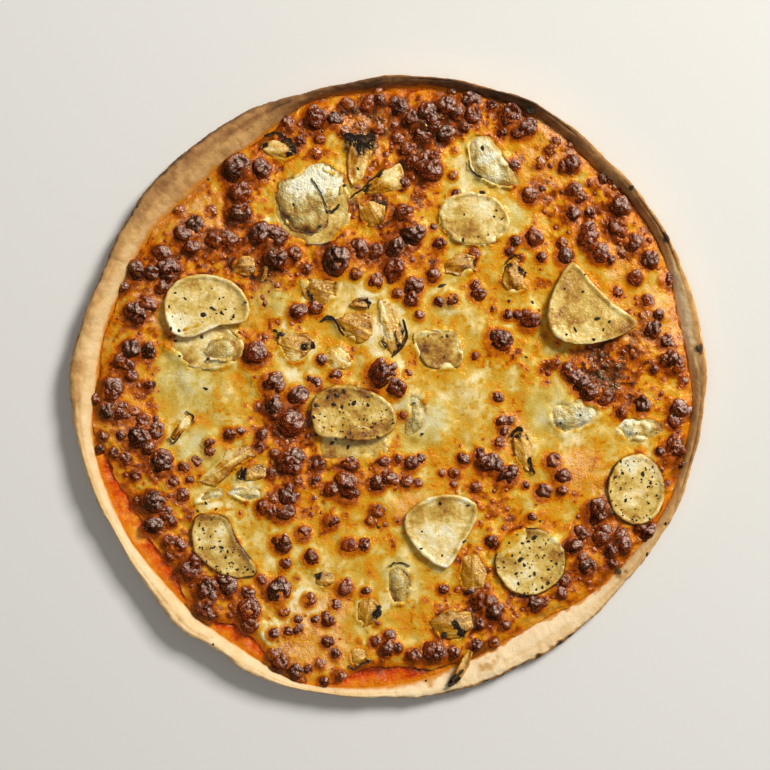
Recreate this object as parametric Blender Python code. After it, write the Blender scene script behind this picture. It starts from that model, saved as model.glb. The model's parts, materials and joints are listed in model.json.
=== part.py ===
"""A baked thin-crust pizza, whole and lying flat.

A thin dough base with an uneven raised rim carries a layer of tomato sauce and a layer
of browned, blistered cheese. Potato slices, pieces of blue cheese and pieces of onion
lie on the cheese, some of them on top of each other.

The frame has +Z up. The origin is under the middle of the base, on its underside.
+X is to the right and +Y away from the viewer when the pizza is seen from above.
Sizes below are in millimetres, and become metres where the meshes are made.
"""

import math
import random

import bmesh
import bpy
from mathutils.geometry import delaunay_2d_cdt

MM = 0.001
GAP = 0.3

# Rim, by the direction seen from the middle: 0 is +X, then towards +Y, every 15 degrees.
RIM_OUTER = (
    159.5, 159.8, 158.8, 159.2, 159.6, 158.0, 155.4, 153.5,
    155.4, 156.6, 155.5, 155.8, 160.2, 156.8, 155.7, 158.0,
    160.5, 157.0, 156.4, 156.4, 155.8, 154.6, 156.1, 157.9,
)
RIM_INNER = (
    151.6, 149.6, 153.8, 151.0, 154.6, 153.4, 150.0, 147.4,
    139.2, 138.0, 141.3, 143.2, 146.6, 150.6, 150.0, 149.2,
    150.6, 154.2, 149.6, 143.4, 139.4, 144.8, 149.8, 152.2,
)
# Short bulges and notches of the rim's edge: direction, extra radius, half width in degrees.
RIM_BUMPS = ((237.0, -3.0, 4.0), (231.0, 1.0, 4.0), (175.0, 0.3, 4.0), (22.0, 0.7, 4.0))
# Height of the rim's crest above the table, every 30 degrees.
RIM_HEIGHT = (10.5, 11.5, 12.0, 12.5, 12.0, 12.0, 12.5, 12.5, 12.0, 9.8, 8.2, 9.4)
# Across the rim: share of its width, share of its rise above the dough floor.
RIM_PROFILE = ((0.0, 0.0), (0.12, 0.38), (0.34, 0.76), (0.58, 0.97), (0.76, 1.0), (0.91, 0.80))
RIM_SIDE_SHARE = 0.42
RIM_LOWER_SHARE = 0.16
RIM_UNDERCUT = 0.7
BASE_INSET = 3.6
RIM_STEPS = 120
# Burnt crumbs baked onto the rim: direction in degrees, extra height, half width in degrees.
RIM_CRUMBS = ((62.7, 2.6, 2.6), (39.5, 1.4, 2.0))

# Layers.
FLOOR_Z = 4.5
SAUCE_EDGE = 0.8
SAUCE_THICK = 1.2
SAUCE_ROUND = 1.6
SAUCE_FLAT = 9.0
CHEESE_EDGE = 1.4
CHEESE_RISE = 2.1
CHEESE_EDGE_THICK = 0.7
CHEESE_TAPER = 4.0
# Where the cheese stops short and sauce shows: direction, half width in degrees, depth.
SAUCE_WINDOWS = (
    (209.0, 18.0, 9.0), (240.0, 8.0, 7.0), (269.0, 11.0, 8.0), (88.0, 16.0, 1.6),
)

SAUCE_Z = FLOOR_Z + GAP
CHEESE_Z = SAUCE_Z + SAUCE_THICK + GAP
CHEESE_LEVEL = CHEESE_Z + CHEESE_RISE
BED_Z = CHEESE_LEVEL - 0.4
BED_MARGIN = 0.9
FIRST_Z = BED_Z + GAP

# Blisters that stand out of the cheese: x, y, radius.
BLISTERS = (
    (-36, 134, 6.5), (5, 140, 5.5), (12, 134, 5.0), (20, 136, 6.5), (29, 140, 6.0),
    (41, 143, 5.5), (42, 136, 5.0), (17, 126, 5.0), (28, 127, 5.0), (20, 110, 8.0),
    (12, 77, 7.0), (8, 87, 5.0), (4, 70, 5.0), (-15, 69, 5.5), (-26, 64, 8.0),
    (3, 59, 6.0), (13, 50, 5.5), (-57, 75, 6.5), (-56, 64, 6.5), (-75, 109, 7.5),
    (-64, 109, 5.5), (-74, 98, 6.5), (-74, 87, 6.5), (-64, 77, 5.5), (-97, 81, 5.5),
    (-102, 76, 5.0), (-87, 74, 5.5), (-80, 74, 5.0), (-98, 70, 4.5), (-113, 67, 5.0),
    (-110, 58, 7.0), (-125, 58, 5.5), (-118, 57, 4.5), (-126, 37, 6.0), (-128, 19, 5.5),
    (-120, 18, 4.5), (-134, 13, 4.5), (-137, 0, 5.5), (-133, -12, 6.0), (-140, -12, 4.5),
    (-125, -25, 6.5), (-116, -22, 5.5), (-113, -38, 6.5), (-117, -57, 6.5), (-117, -69, 5.0),
    (-111, -63, 4.5), (-99, -91, 6.0), (-90, -101, 6.5), (-91, -111, 5.5), (-80, -100, 5.0),
    (-69, -111, 6.5), (-69, -119, 4.5), (-55, -101, 6.5), (-54, -138, 5.5), (-46, -142, 4.5),
    (-52, -62, 5.5), (-53, -78, 5.0), (-50, -54, 6.5), (-49, -38, 6.5), (-49, -17, 7.5),
    (-45, -4, 5.5), (-57, 2, 6.0), (-57, -9, 5.0), (-66, 17, 6.5), (-20, -50, 7.0),
    (-19, -38, 4.8), (-5, -48, 4.5), (-3, 8, 8.0), (5, 0, 7.0), (12, -38, 4.5),
    (-20, -79, 4.5), (-21, -98, 4.8), (0, -130, 4.5), (22, -132, 5.0), (46, -107, 4.8),
    (56, 24, 6.5), (71, 34, 5.5), (61, 136, 6.0), (70, 130, 5.0), (92, 112, 4.8),
    (92, 87, 4.8), (71, 96, 4.6), (73, 75, 5.0), (89, 66, 5.0), (116, 90, 5.5),
    (114, 80, 5.0), (100, 75, 5.0), (106, 67, 5.0), (123, 72, 5.5), (131, 64, 4.6),
    (128, 42, 5.5), (132, 29, 4.6), (142, 13, 5.5), (95, 5, 5.0), (101, -2, 5.0),
    (127, -9, 4.8), (145, -11, 5.0), (143, -31, 6.0), (53, -38, 5.0), (60, -44, 5.5),
    (83, -37, 4.5), (87, -44, 4.8), (105, -62, 6.5), (93, -79, 4.8), (97, -73, 4.6),
    (107, -75, 4.6), (117, -78, 5.2), (99, -89, 5.2), (53, -112, 5.2), (73, -108, 4.5),
    (130, -72, 4.8),
)
BLISTER_RISE = 0.52
BLISTER_RINGS = ((0.58, 5, 0.0), (1.02, 7, 0.4))
SMALL_BLISTERS = 46
SMALL_BLISTER_RADIUS = (2.6, 3.8)
FILLER_SPACING = 9.2
SEED = 11

# Oval slices of potato: x, y, half length, half width, turn in degrees, underside height,
# rise of the underside per mm along x and y, thickness.
LOWER_THICK = 1.3
SLICE_THICK = 2.4
OVAL_SLICES = (
    (-90, 20, 18.5, 11.8, 0, FIRST_Z, 0.0, 0.0, LOWER_THICK),
    (-17, -13, 22.0, 13.6, -13, 9.7, 0.0, -0.068, SLICE_THICK),
    (-18, -29.5, 19.0, 10.6, 0, FIRST_Z, 0.0, 0.0, LOWER_THICK),
    (71, -87, 18.2, 17.4, 0, FIRST_Z, 0.0, 0.0, SLICE_THICK),
    (123.8, -51, 14.6, 18.3, 0, FIRST_Z, 0.0, 0.0, SLICE_THICK),
    (43, 84, 18.0, 14.0, -8, FIRST_Z, 0.0, 0.0, SLICE_THICK),
    (-37, 90, 19.6, 19.4, 0, FIRST_Z, 0.0, 0.0, LOWER_THICK),
)
# Cut or folded slices of potato: corners, underside height and its rise, thickness.
CORNER_SLICES = (
    (((-112, 41.5), (-106, 52.5), (-93, 56.5), (-78, 53), (-69.5, 43), (-70.5, 32.5), (-84, 30.5),
      (-97, 24.8), (-108, 27)), 9.4, 0.0, -0.066, SLICE_THICK),
    (((-97, -65), (-89, -63), (-80, -65), (-75, -77), (-66, -89), (-67, -95), (-83, -94), (-97, -82)),
     FIRST_Z, 0.0, 0.0, SLICE_THICK),
    (((9, -63), (20, -55), (33, -53.5), (44, -58), (44, -67), (37, -79), (29.5, -91), (17, -84), (9, -73)),
     FIRST_Z, 0.0, 0.0, SLICE_THICK),
    (((12, 27), (22, 29), (33, 28.5), (37.5, 19), (37, 10.5), (28, 8.5), (19, 10.5), (14, 18)),
     FIRST_Z, 0.0, 0.0, LOWER_THICK),
    (((92, 63), (101, 53), (113, 41), (124.5, 32.5), (119, 27), (107, 22.5), (94, 21), (83, 25), (79, 35),
      (83, 50)), 11.2, 0.0, -0.11, SLICE_THICK),
)

# Pieces of blue cheese: corners, underside height, thickness.
CRUMBLES = (
    (((-54, 103.5), (-43, 107), (-38, 111.5), (-29, 112), (-22, 106), (-23, 97), (-29, 88.5), (-30, 80),
      (-38, 75.5), (-48, 78), (-54, 86), (-56, 95)), FIRST_Z + LOWER_THICK + GAP, 2.2),
    (((-92, 18), (-88, 23.5), (-82, 25.5), (-76, 22.5), (-75, 16), (-81, 12.5), (-89, 13.5)),
     FIRST_Z + LOWER_THICK + GAP, 1.6),
    (((39, 121), (44, 127), (51, 125.5), (58, 117), (64, 108), (66, 101.5), (61, 98.5), (52, 100.5),
      (44, 104.5), (40, 111)), FIRST_Z, 2.4),
    (((79, -17), (83, -8), (94, -5.5), (106, -8), (108, -15), (101, -20), (88, -23.5)), FIRST_Z, 1.8),
    (((113.5, -21), (118, -15.5), (127, -14.5), (137, -18), (138, -22.5), (128, -27), (118, -26)),
     FIRST_Z, 1.8),
    (((0, -92), (5, -89.5), (11, -92), (12, -100), (8, -109), (2.5, -109), (-0.5, -101)), FIRST_Z, 2.2),
    (((-81, -53), (-76, -49.6), (-66, -49.6), (-60, -52.5), (-63, -56.5), (-73, -57.3)), FIRST_Z, 1.8),
    (((10, -4), (15, -3), (19.5, -10), (20, -20), (14, -27), (8.5, -23), (9.5, -12)), FIRST_Z, 1.2),
    (((-99, -59.5), (-97.5, -56), (-89.5, -51.5), (-83, -50.2), (-82.6, -54.6), (-89, -57)), FIRST_Z, 1.8),
)

# Pieces of onion: corners, underside height, rise of the middle.
ONION_THICK = 1.0
PETALS = (
    (((-65, 119), (-61, 122.8), (-53, 124), (-46.5, 120), (-45.5, 115.5), (-51, 113), (-59, 115.5)),
     FIRST_Z, 1.2),
    (((-22, 125.5), (-6.3, 124.5), (-8, 116), (-11.5, 104), (-17.5, 99.5), (-20.5, 105), (-20.3, 117)),
     FIRST_Z, 1.0),
    (((-15.5, 96.5), (-8, 104), (-1, 109.5), (6, 112), (9, 106), (7.5, 98.5), (-1, 97), (-9, 96)),
     FIRST_Z, 1.6),
    (((-55, 27.5), (-41, 26.5), (-36, 19.5), (-46.5, 11), (-53, 17)), FIRST_Z, 1.0),
    (((-32.5, 16), (-24, 22), (-17.5, 11), (-27, 8.8)), FIRST_Z, 0.8),
    (((-29, 34.5), (-20, 37), (-8.5, 37), (-7, 25), (-14, 21.5), (-22, 26)), FIRST_Z, 1.5),
    (((-5, 44), (-0.5, 44), (4, 36), (8.3, 28), (6.5, 20), (2, 16.3), (-2.5, 21), (-4, 31)), FIRST_Z, 1.3),
    (((-19.5, 40.5), (-17.5, 44), (-10, 44.5), (-9, 40), (-14, 39.5)), FIRST_Z, 0.4),
    (((-99.8, -12.8), (-96.8, -17.5), (-102, -23), (-107, -27.6), (-109, -25), (-104.5, -17)), FIRST_Z, 0.8),
    (((-73, -40.5), (-62, -38.5), (-60.5, -45), (-69, -47), (-75, -46)), FIRST_Z, 0.8),
    (((62.3, -25.5), (65.5, -21.5), (70.3, -23), (72, -33), (72.6, -42.5), (69, -42), (64, -37)),
     FIRST_Z, 1.0),
    (((57.5, 60), (64.5, 65), (68, 56), (70, 48.5), (61, 46), (57, 52)), FIRST_Z, 1.4),
    (((-35.5, -93), (-28.5, -92), (-26, -96.5), (-31.5, -100), (-35.8, -98)), FIRST_Z, 0.5),
    (((-16, -106.5), (-8.5, -104.5), (-2.8, -110), (-6, -117.5), (-12.5, -120.5), (-16.5, -115)),
     FIRST_Z, 1.2),
    (((20.5, -117), (30, -110.5), (42, -112.5), (44, -120.5), (36, -127), (25, -125.5)), FIRST_Z, 1.9),
    (((37, -84.5), (45, -82.5), (50, -92), (47.5, -100.5), (38, -102.5), (34.5, -94)), FIRST_Z, 1.6),
    (((-18.5, -131.5), (-12.5, -130.5), (-9.5, -135.5), (-13.5, -139.5), (-18.8, -138)), FIRST_Z, 0.7),
    (((-79.5, 61.5), (-73, 67), (-66, 65), (-65.6, 58), (-70, 54.6), (-77, 57)), FIRST_Z, 1.0),
    (((-64, 52), (-62.7, 59), (-62.3, 66), (-59.8, 68), (-59.2, 61), (-61, 52.5)), FIRST_Z, 0.4),
    (((-45, 54.5), (-35, 54.2), (-25.5, 52.5), (-25.5, 45), (-32, 40.5), (-41.5, 44)), FIRST_Z, 1.0),
    (((-14.5, 92), (-7, 94), (-1, 91), (-1.5, 82), (-9, 79.5), (-14.3, 84)), FIRST_Z, 0.9),
    (((27.5, 63.5), (35, 67.5), (43.5, 65.5), (44.5, 58), (36, 55), (28.5, 57)), FIRST_Z, 1.0),
    (((-96, -47), (-86, -38), (-80, -31), (-70, -29), (-63, -33), (-70, -37), (-78, -42.5), (-86, -50)),
     FIRST_Z, 1.2),
)
# The strip of onion that hangs over the bare rim, clear of the crest under it.
RIM_STRIP = ((39.6, -130.5), (42.6, -132), (40.6, -139), (36, -146.5), (31.5, -149.8), (29.6, -148),
             (32.6, -142.5), (36.3, -136.5))
RIM_STRIP_Z = 9.6

# Colours of the photograph, linear, with roughness.
COLOURS = {
    "dough": ((0.72, 0.52, 0.28, 1.0), 0.75),
    "tomato": ((0.52, 0.09, 0.02, 1.0), 0.4),
    "cheese": ((0.66, 0.33, 0.06, 1.0), 0.35),
    "potato": ((0.72, 0.60, 0.24, 1.0), 0.45),
    "blue_cheese": ((0.66, 0.62, 0.42, 1.0), 0.5),
    "onion": ((0.52, 0.33, 0.12, 1.0), 0.4),
}


def ring_value(values, angle):
    """A value at this angle on a smooth closed curve through evenly spaced values."""
    count = len(values)
    place = (angle / math.tau * count) % count
    i = int(place)
    t = place - i
    before, start, end, after = (values[(i + k) % count] for k in (-1, 0, 1, 2))
    bend = 2 * before - 5 * start + 4 * end - after
    turn = -before + 3 * start - 3 * end + after
    return 0.5 * (2 * start + (end - before) * t + bend * t * t + turn * t * t * t)


def smooth_step(t):
    t = min(max(t, 0.0), 1.0)
    return t * t * (3 - 2 * t)


def degrees_between(angle, direction):
    """How far an angle is from a direction given in degrees, the shorter way round."""
    return abs((math.degrees(angle) - direction + 180) % 360 - 180)


def local_change(angle, changes):
    """The sum of short changes along the rim, each fading out past its half width."""
    return sum(
        extra * smooth_step(1.5 - degrees_between(angle, direction) / half_width)
        for direction, extra, half_width in changes
    )


def rim_outer(angle):
    wobble = 0.45 * math.sin(13 * angle + 0.6) + 0.3 * math.sin(29 * angle)
    return ring_value(RIM_OUTER, angle) + wobble + local_change(angle, RIM_BUMPS)


def rim_inner(angle):
    return ring_value(RIM_INNER, angle) + 0.4 * math.sin(17 * angle + 2.0)


def rim_height(angle):
    return ring_value(RIM_HEIGHT, angle) + 0.3 * math.sin(11 * angle + 1.0) + local_change(angle, RIM_CRUMBS)


def sauce_radius(angle):
    return rim_inner(angle) - SAUCE_EDGE


def cheese_radius(angle):
    """Radius of the cheese's uneven edge, which leaves some of the sauce bare."""
    bare = max(
        depth * smooth_step(1.3 - degrees_between(angle, direction) / half_width)
        for direction, half_width, depth in SAUCE_WINDOWS
    )
    wobble = 0.8 + 0.8 * math.sin(23 * angle + 0.5)
    return rim_inner(angle) - CHEESE_EDGE - bare - wobble * min(1.0, 0.25 + bare / 4)


def ring_angles():
    return [math.tau * i / RIM_STEPS for i in range(RIM_STEPS)]


def make_material(slot):
    colour, roughness = COLOURS[slot]
    material = bpy.data.materials.new(slot)
    material.use_nodes = True
    shader = material.node_tree.nodes["Principled BSDF"]
    shader.inputs["Base Color"].default_value = colour
    shader.inputs["Roughness"].default_value = roughness
    shader.inputs["Metallic"].default_value = 0.0
    return material


def finish(name, mesh_data, material, sharp_degrees):
    """Turns a bmesh in millimetres into a smooth shaded object in metres."""
    for vert in mesh_data.verts:
        vert.co *= MM
    bmesh.ops.recalc_face_normals(mesh_data, faces=mesh_data.faces[:])
    mesh = bpy.data.meshes.new(name)
    mesh_data.to_mesh(mesh)
    mesh_data.free()
    mesh.shade_smooth()
    mesh.set_sharp_from_angle(angle=math.radians(sharp_degrees))
    mesh.materials.append(material)
    obj = bpy.data.objects.new(name, mesh)
    bpy.context.scene.collection.objects.link(obj)
    return obj


def join_rings(mesh_data, rings):
    """Faces between each ring of vertices and the next."""
    for lower, upper in zip(rings, rings[1:]):
        count = len(lower)
        for i in range(count):
            j = (i + 1) % count
            mesh_data.faces.new((lower[i], lower[j], upper[j], upper[i]))


def polar_ring(mesh_data, radii, heights):
    return [
        mesh_data.verts.new((r * math.cos(a), r * math.sin(a), z))
        for a, r, z in zip(ring_angles(), radii, heights)
    ]


def make_crust(material):
    """The dough: a level floor, the inner wall and crest of the rim, its side and the underside."""
    mesh_data = bmesh.new()
    angles = ring_angles()
    outer = [rim_outer(a) for a in angles]
    inner = [sauce_radius(a) + GAP for a in angles]
    height = [rim_height(a) for a in angles]
    rings = []
    for across, rise in RIM_PROFILE:
        radii = [i + (o - i) * across for i, o in zip(inner, outer)]
        rings.append(polar_ring(mesh_data, radii, [FLOOR_Z + (h - FLOOR_Z) * rise for h in height]))
    rings.append(polar_ring(mesh_data, outer, [h * RIM_SIDE_SHARE for h in height]))
    lower_side = [o - RIM_UNDERCUT for o in outer]
    rings.append(polar_ring(mesh_data, lower_side, [h * RIM_LOWER_SHARE for h in height]))
    rings.append(polar_ring(mesh_data, [o - BASE_INSET for o in outer], [0.0] * RIM_STEPS))
    join_rings(mesh_data, rings)
    mesh_data.faces.new(rings[0])
    mesh_data.faces.new(rings[-1])
    return finish("crust", mesh_data, material, 60)


def make_sauce(material):
    """The layer of tomato sauce that runs under the cheese out to the rim."""
    mesh_data = bmesh.new()
    edge = [sauce_radius(a) for a in ring_angles()]
    top = SAUCE_Z + SAUCE_THICK
    rings = [
        polar_ring(mesh_data, edge, [SAUCE_Z] * RIM_STEPS),
        polar_ring(mesh_data, edge, [SAUCE_Z + SAUCE_THICK / 2] * RIM_STEPS),
        polar_ring(mesh_data, [r - SAUCE_ROUND for r in edge], [top - 0.2] * RIM_STEPS),
        polar_ring(mesh_data, [r - SAUCE_FLAT for r in edge], [top] * RIM_STEPS),
    ]
    join_rings(mesh_data, rings)
    mesh_data.faces.new(rings[0])
    mesh_data.faces.new(rings[-1])
    return finish("tomato_sauce", mesh_data, material, 60)


def centre_of(outline):
    return (
        sum(p[0] for p in outline) / len(outline),
        sum(p[1] for p in outline) / len(outline),
    )


def scaled(outline, share):
    cx, cy = centre_of(outline)
    return [(cx + (x - cx) * share, cy + (y - cy) * share) for x, y in outline]


def grown(outline, margin):
    """The outline moved outwards by about this margin, point by point."""
    count = len(outline)
    moved = []
    for i, (x, y) in enumerate(outline):
        ax, ay = outline[i - 1]
        bx, by = outline[(i + 1) % count]
        length = math.hypot(bx - ax, by - ay)
        moved.append((x + margin * (by - ay) / length, y - margin * (bx - ax) / length))
    return moved


def anticlockwise(outline):
    area = sum(
        ax * by - bx * ay for (ax, ay), (bx, by) in zip(outline, outline[1:] + outline[:1])
    )
    return outline if area > 0 else outline[::-1]


def oval(x, y, half_length, half_width, turn, steps, wobble_seed):
    """An oval outline with the slight unevenness of a hand-cut slice."""
    draw = random.Random(wobble_seed)
    waves = [(k, draw.uniform(0, math.tau), draw.uniform(0.004, 0.014)) for k in (2, 3, 5)]
    along, across = math.cos(math.radians(turn)), math.sin(math.radians(turn))
    outline = []
    for i in range(steps):
        a = math.tau * i / steps
        share = 1 + sum(size * math.sin(k * a + phase) for k, phase, size in waves)
        u = half_length * share * math.cos(a)
        v = half_width * share * math.sin(a)
        outline.append((x + u * along - v * across, y + u * across + v * along))
    return outline


def rounded(corners, per_side):
    """A closed smooth outline through the corners, with this many points to a side."""
    corners = anticlockwise(list(corners))
    count = len(corners)
    outline = []
    for i in range(count):
        for k in range(per_side):
            place = math.tau * (i + k / per_side) / count
            outline.append(tuple(ring_value([c[axis] for c in corners], place) for axis in (0, 1)))
    return outline


def flat_ring(mesh_data, outline, height):
    return [mesh_data.verts.new((x, y, height(x, y))) for x, y in outline]


def close_with_point(mesh_data, ring, outline, height):
    x, y = centre_of(outline)
    middle = mesh_data.verts.new((x, y, height(x, y)))
    count = len(ring)
    for i in range(count):
        mesh_data.faces.new((ring[i], ring[(i + 1) % count], middle))


def make_slice(name, outline, base, lean_x, lean_y, thickness, material):
    """A slice with an even underside, a rounded upper edge and a top that is cupped a little."""
    mesh_data = bmesh.new()
    cx, cy = centre_of(outline)
    size = sum(math.hypot(x - cx, y - cy) for x, y in outline) / len(outline)

    def level(rise):
        return lambda x, y: base + lean_x * (x - cx) + lean_y * (y - cy) + rise

    edge = scaled(outline, 1 - 0.9 / size)
    middle = scaled(outline, 0.62)
    rings = [
        flat_ring(mesh_data, outline, level(0.0)),
        flat_ring(mesh_data, outline, level(0.62 * thickness)),
        flat_ring(mesh_data, edge, level(thickness)),
        flat_ring(mesh_data, middle, level(thickness - 0.25)),
    ]
    join_rings(mesh_data, rings)
    mesh_data.faces.new(rings[0])
    close_with_point(mesh_data, rings[-1], middle, level(thickness - 0.1))
    return finish(name, mesh_data, material, 50)


def make_crumble(name, outline, base, thickness, seed, material):
    """A piece of blue cheese: level below, lumpy above."""
    mesh_data = bmesh.new()
    draw = random.Random(seed)
    shoulder = scaled(outline, 0.93)
    top = scaled(outline, 0.58)
    rings = [
        flat_ring(mesh_data, outline, lambda x, y: base),
        flat_ring(mesh_data, outline, lambda x, y: base + 0.35 * thickness),
        flat_ring(mesh_data, shoulder, lambda x, y: base + thickness * draw.uniform(0.7, 0.95)),
        flat_ring(mesh_data, top, lambda x, y: base + thickness * draw.uniform(0.85, 1.15)),
    ]
    join_rings(mesh_data, rings)
    mesh_data.faces.new(rings[0])
    close_with_point(mesh_data, rings[-1], top, lambda x, y: base + thickness)
    return finish(name, mesh_data, material, 60)


def make_petal(name, outline, base, arch, material):
    """A thin piece of onion, arched, with both faces split alike."""
    mesh_data = bmesh.new()
    middle = scaled(outline, 0.55)
    sides = []
    for lift in (0.0, ONION_THICK):
        edge_ring = flat_ring(mesh_data, outline, lambda x, y: base + lift * 0.8)
        middle_ring = flat_ring(mesh_data, middle, lambda x, y: base + lift + 0.7 * arch)
        join_rings(mesh_data, (edge_ring, middle_ring))
        close_with_point(mesh_data, middle_ring, middle, lambda x, y: base + lift + arch)
        sides.append(edge_ring)
    join_rings(mesh_data, sides)
    return finish(name, mesh_data, material, 60)


def inside(outline, x, y):
    found = False
    for (ax, ay), (bx, by) in zip(outline, outline[1:] + outline[:1]):
        if (ay > y) != (by > y) and x < ax + (bx - ax) * (y - ay) / (by - ay):
            found = not found
    return found


def edge_distance(outline, x, y):
    """Distance from a point to a closed outline."""
    nearest = math.inf
    for (ax, ay), (bx, by) in zip(outline, outline[1:] + outline[:1]):
        dx, dy = bx - ax, by - ay
        along = min(max(((x - ax) * dx + (y - ay) * dy) / (dx * dx + dy * dy), 0.0), 1.0)
        nearest = min(nearest, math.hypot(x - ax - along * dx, y - ay - along * dy))
    return nearest


class CheeseTop:
    """The uneven top of the cheese, level under each piece that lies on it."""

    def __init__(self, beds):
        self.beds = beds
        self.blisters = list(BLISTERS) + self.small_blisters()

    def room(self, x, y):
        """How far inside the cheese's edge a point lies."""
        return cheese_radius(math.atan2(y, x) % math.tau) - math.hypot(x, y)

    def in_bed(self, x, y, margin=0.0):
        return any(inside(bed, x, y) or edge_distance(bed, x, y) < margin for bed in self.beds)

    def small_blisters(self):
        """Lesser blisters, drawn at random between the large ones and the pieces on the cheese."""
        draw = random.Random(SEED)
        found = []
        while len(found) < SMALL_BLISTERS:
            angle = draw.uniform(0, math.tau)
            radius = 148 * math.sqrt(draw.uniform(0.0, 1.0))
            x, y = radius * math.cos(angle), radius * math.sin(angle)
            size = draw.uniform(*SMALL_BLISTER_RADIUS)
            if self.room(x, y) < size + 2 or self.in_bed(x, y, size + 0.5):
                continue
            if any(math.hypot(x - bx, y - by) < size + r + 1.0 for bx, by, r in [*BLISTERS, *found]):
                continue
            found.append((x, y, size))
        return found

    def height(self, x, y):
        swell = 0.28 * math.sin(x / 9.0 + 1.2) * math.sin(y / 11.0) + 0.14 * math.sin((x + y) / 5.3)
        level = CHEESE_LEVEL + swell
        dome = 0.0
        for bx, by, r in self.blisters:
            share = ((x - bx) ** 2 + (y - by) ** 2) / (r * r)
            if share < 1:
                dome = max(dome, BLISTER_RISE * r * (1 - share) ** 0.7)
        edge = CHEESE_Z + CHEESE_EDGE_THICK
        return edge + (level + dome - edge) * smooth_step(self.room(x, y) / CHEESE_TAPER)


def cheese_points(top):
    """Inner points of the cheese's top: blisters first, then a loose even spread."""
    points = []

    def offer(x, y, apart, clear):
        if top.room(x, y) < 2.5 or top.in_bed(x, y, clear):
            return
        if all((x - px) ** 2 + (y - py) ** 2 > apart * apart for px, py in points):
            points.append((x, y))

    for bx, by, r in top.blisters:
        offer(bx, by, 1.8, 1.0)
    for bx, by, r in top.blisters:
        for share, steps, phase in BLISTER_RINGS:
            for i in range(steps):
                a = math.tau * i / steps + phase + bx
                offer(bx + share * r * math.cos(a), by + share * r * math.sin(a), 1.9, 1.0)
    rows = int(2 * 160 / (FILLER_SPACING * 0.866)) + 1
    for row in range(rows):
        y = -160 + row * FILLER_SPACING * 0.866
        for column in range(int(320 / FILLER_SPACING) + 1):
            offer(-160 + (column + 0.5 * (row % 2)) * FILLER_SPACING, y, 4.6, 2.2)
    return points


def make_cheese(beds, material):
    """The blistered cheese, with a level bed under each piece that lies on it."""
    top = CheeseTop(beds)
    rim = [(cheese_radius(a) * math.cos(a), cheese_radius(a) * math.sin(a)) for a in ring_angles()]
    flat = list(rim)
    edges = [(i, (i + 1) % RIM_STEPS) for i in range(RIM_STEPS)]
    for bed in beds:
        start = len(flat)
        flat += bed
        edges += [(start + i, start + (i + 1) % len(bed)) for i in range(len(bed))]
    flat += cheese_points(top)
    spots, _, faces, _, _, _ = delaunay_2d_cdt([(x, y) for x, y in flat], edges, [], 1, 1e-5)
    mesh_data = bmesh.new()
    upper = []
    for spot in spots:
        x, y = spot
        z = BED_Z if top.in_bed(x, y, 0.05) else top.height(x, y)
        upper.append(mesh_data.verts.new((x, y, z)))
    for face in faces:
        mesh_data.faces.new([upper[i] for i in face])
    border = [edge for edge in mesh_data.edges if len(edge.link_faces) == 1]
    walls = bmesh.ops.extrude_edge_only(mesh_data, edges=border)["geom"]
    lower = [item for item in walls if isinstance(item, bmesh.types.BMVert)]
    for vert in lower:
        vert.co.z = CHEESE_Z
    rim_edges = [
        item for item in walls if isinstance(item, bmesh.types.BMEdge) and len(item.link_faces) == 1
    ]
    bmesh.ops.contextual_create(mesh_data, geom=rim_edges)
    return finish("cheese", mesh_data, material, 80)


def remove_scene_objects():
    for obj in list(bpy.data.objects):
        bpy.data.objects.remove(obj, do_unlink=True)


def main():
    remove_scene_objects()
    materials = {slot: make_material(slot) for slot in COLOURS}
    make_crust(materials["dough"])
    make_sauce(materials["tomato"])
    beds = []
    slices = [(oval(*row[:5], 18, 40 + i), *row[5:]) for i, row in enumerate(OVAL_SLICES)]
    slices += [(rounded(corners, 2), *rest) for corners, *rest in CORNER_SLICES]
    for number, (outline, *place) in enumerate(slices, 1):
        make_slice(f"potato_slice_{number:02d}", outline, *place, materials["potato"])
        beds.append(grown(outline, BED_MARGIN))
    for number, (corners, base, thickness) in enumerate(CRUMBLES, 1):
        outline = rounded(corners, 1)
        make_crumble(f"blue_cheese_{number:02d}", outline, base, thickness, number, materials["blue_cheese"])
        beds.append(grown(outline, BED_MARGIN))
    for number, (corners, base, arch) in enumerate(PETALS, 1):
        outline = rounded(corners, 2 if len(corners) < 6 else 1)
        make_petal(f"onion_{number:02d}", outline, base, arch, materials["onion"])
        beds.append(grown(outline, BED_MARGIN))
    strip = rounded(RIM_STRIP, 1)
    make_petal(f"onion_{len(PETALS) + 1:02d}", strip, RIM_STRIP_Z, 0.5, materials["onion"])
    make_cheese(beds, materials["cheese"])


main()
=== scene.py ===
# %% [markdown]
# # A baked pizza, dressed for a close look
#
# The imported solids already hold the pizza's true sizes: dough, tomato sauce, cheese, slices of
# potato, crumbled blue cheese and onion. This lesson leaves them where they are and gives every
# one of them the surface that comes out of a hot oven: a flour-pale rim that browns in places,
# cheese that has melted, swollen into blisters and charred, and oil that shines on all of it.

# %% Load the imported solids
import itertools
import json
import math

import bmesh
import bpy
import numpy as np
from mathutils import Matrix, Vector
from mathutils.bvhtree import BVHTree

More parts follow.
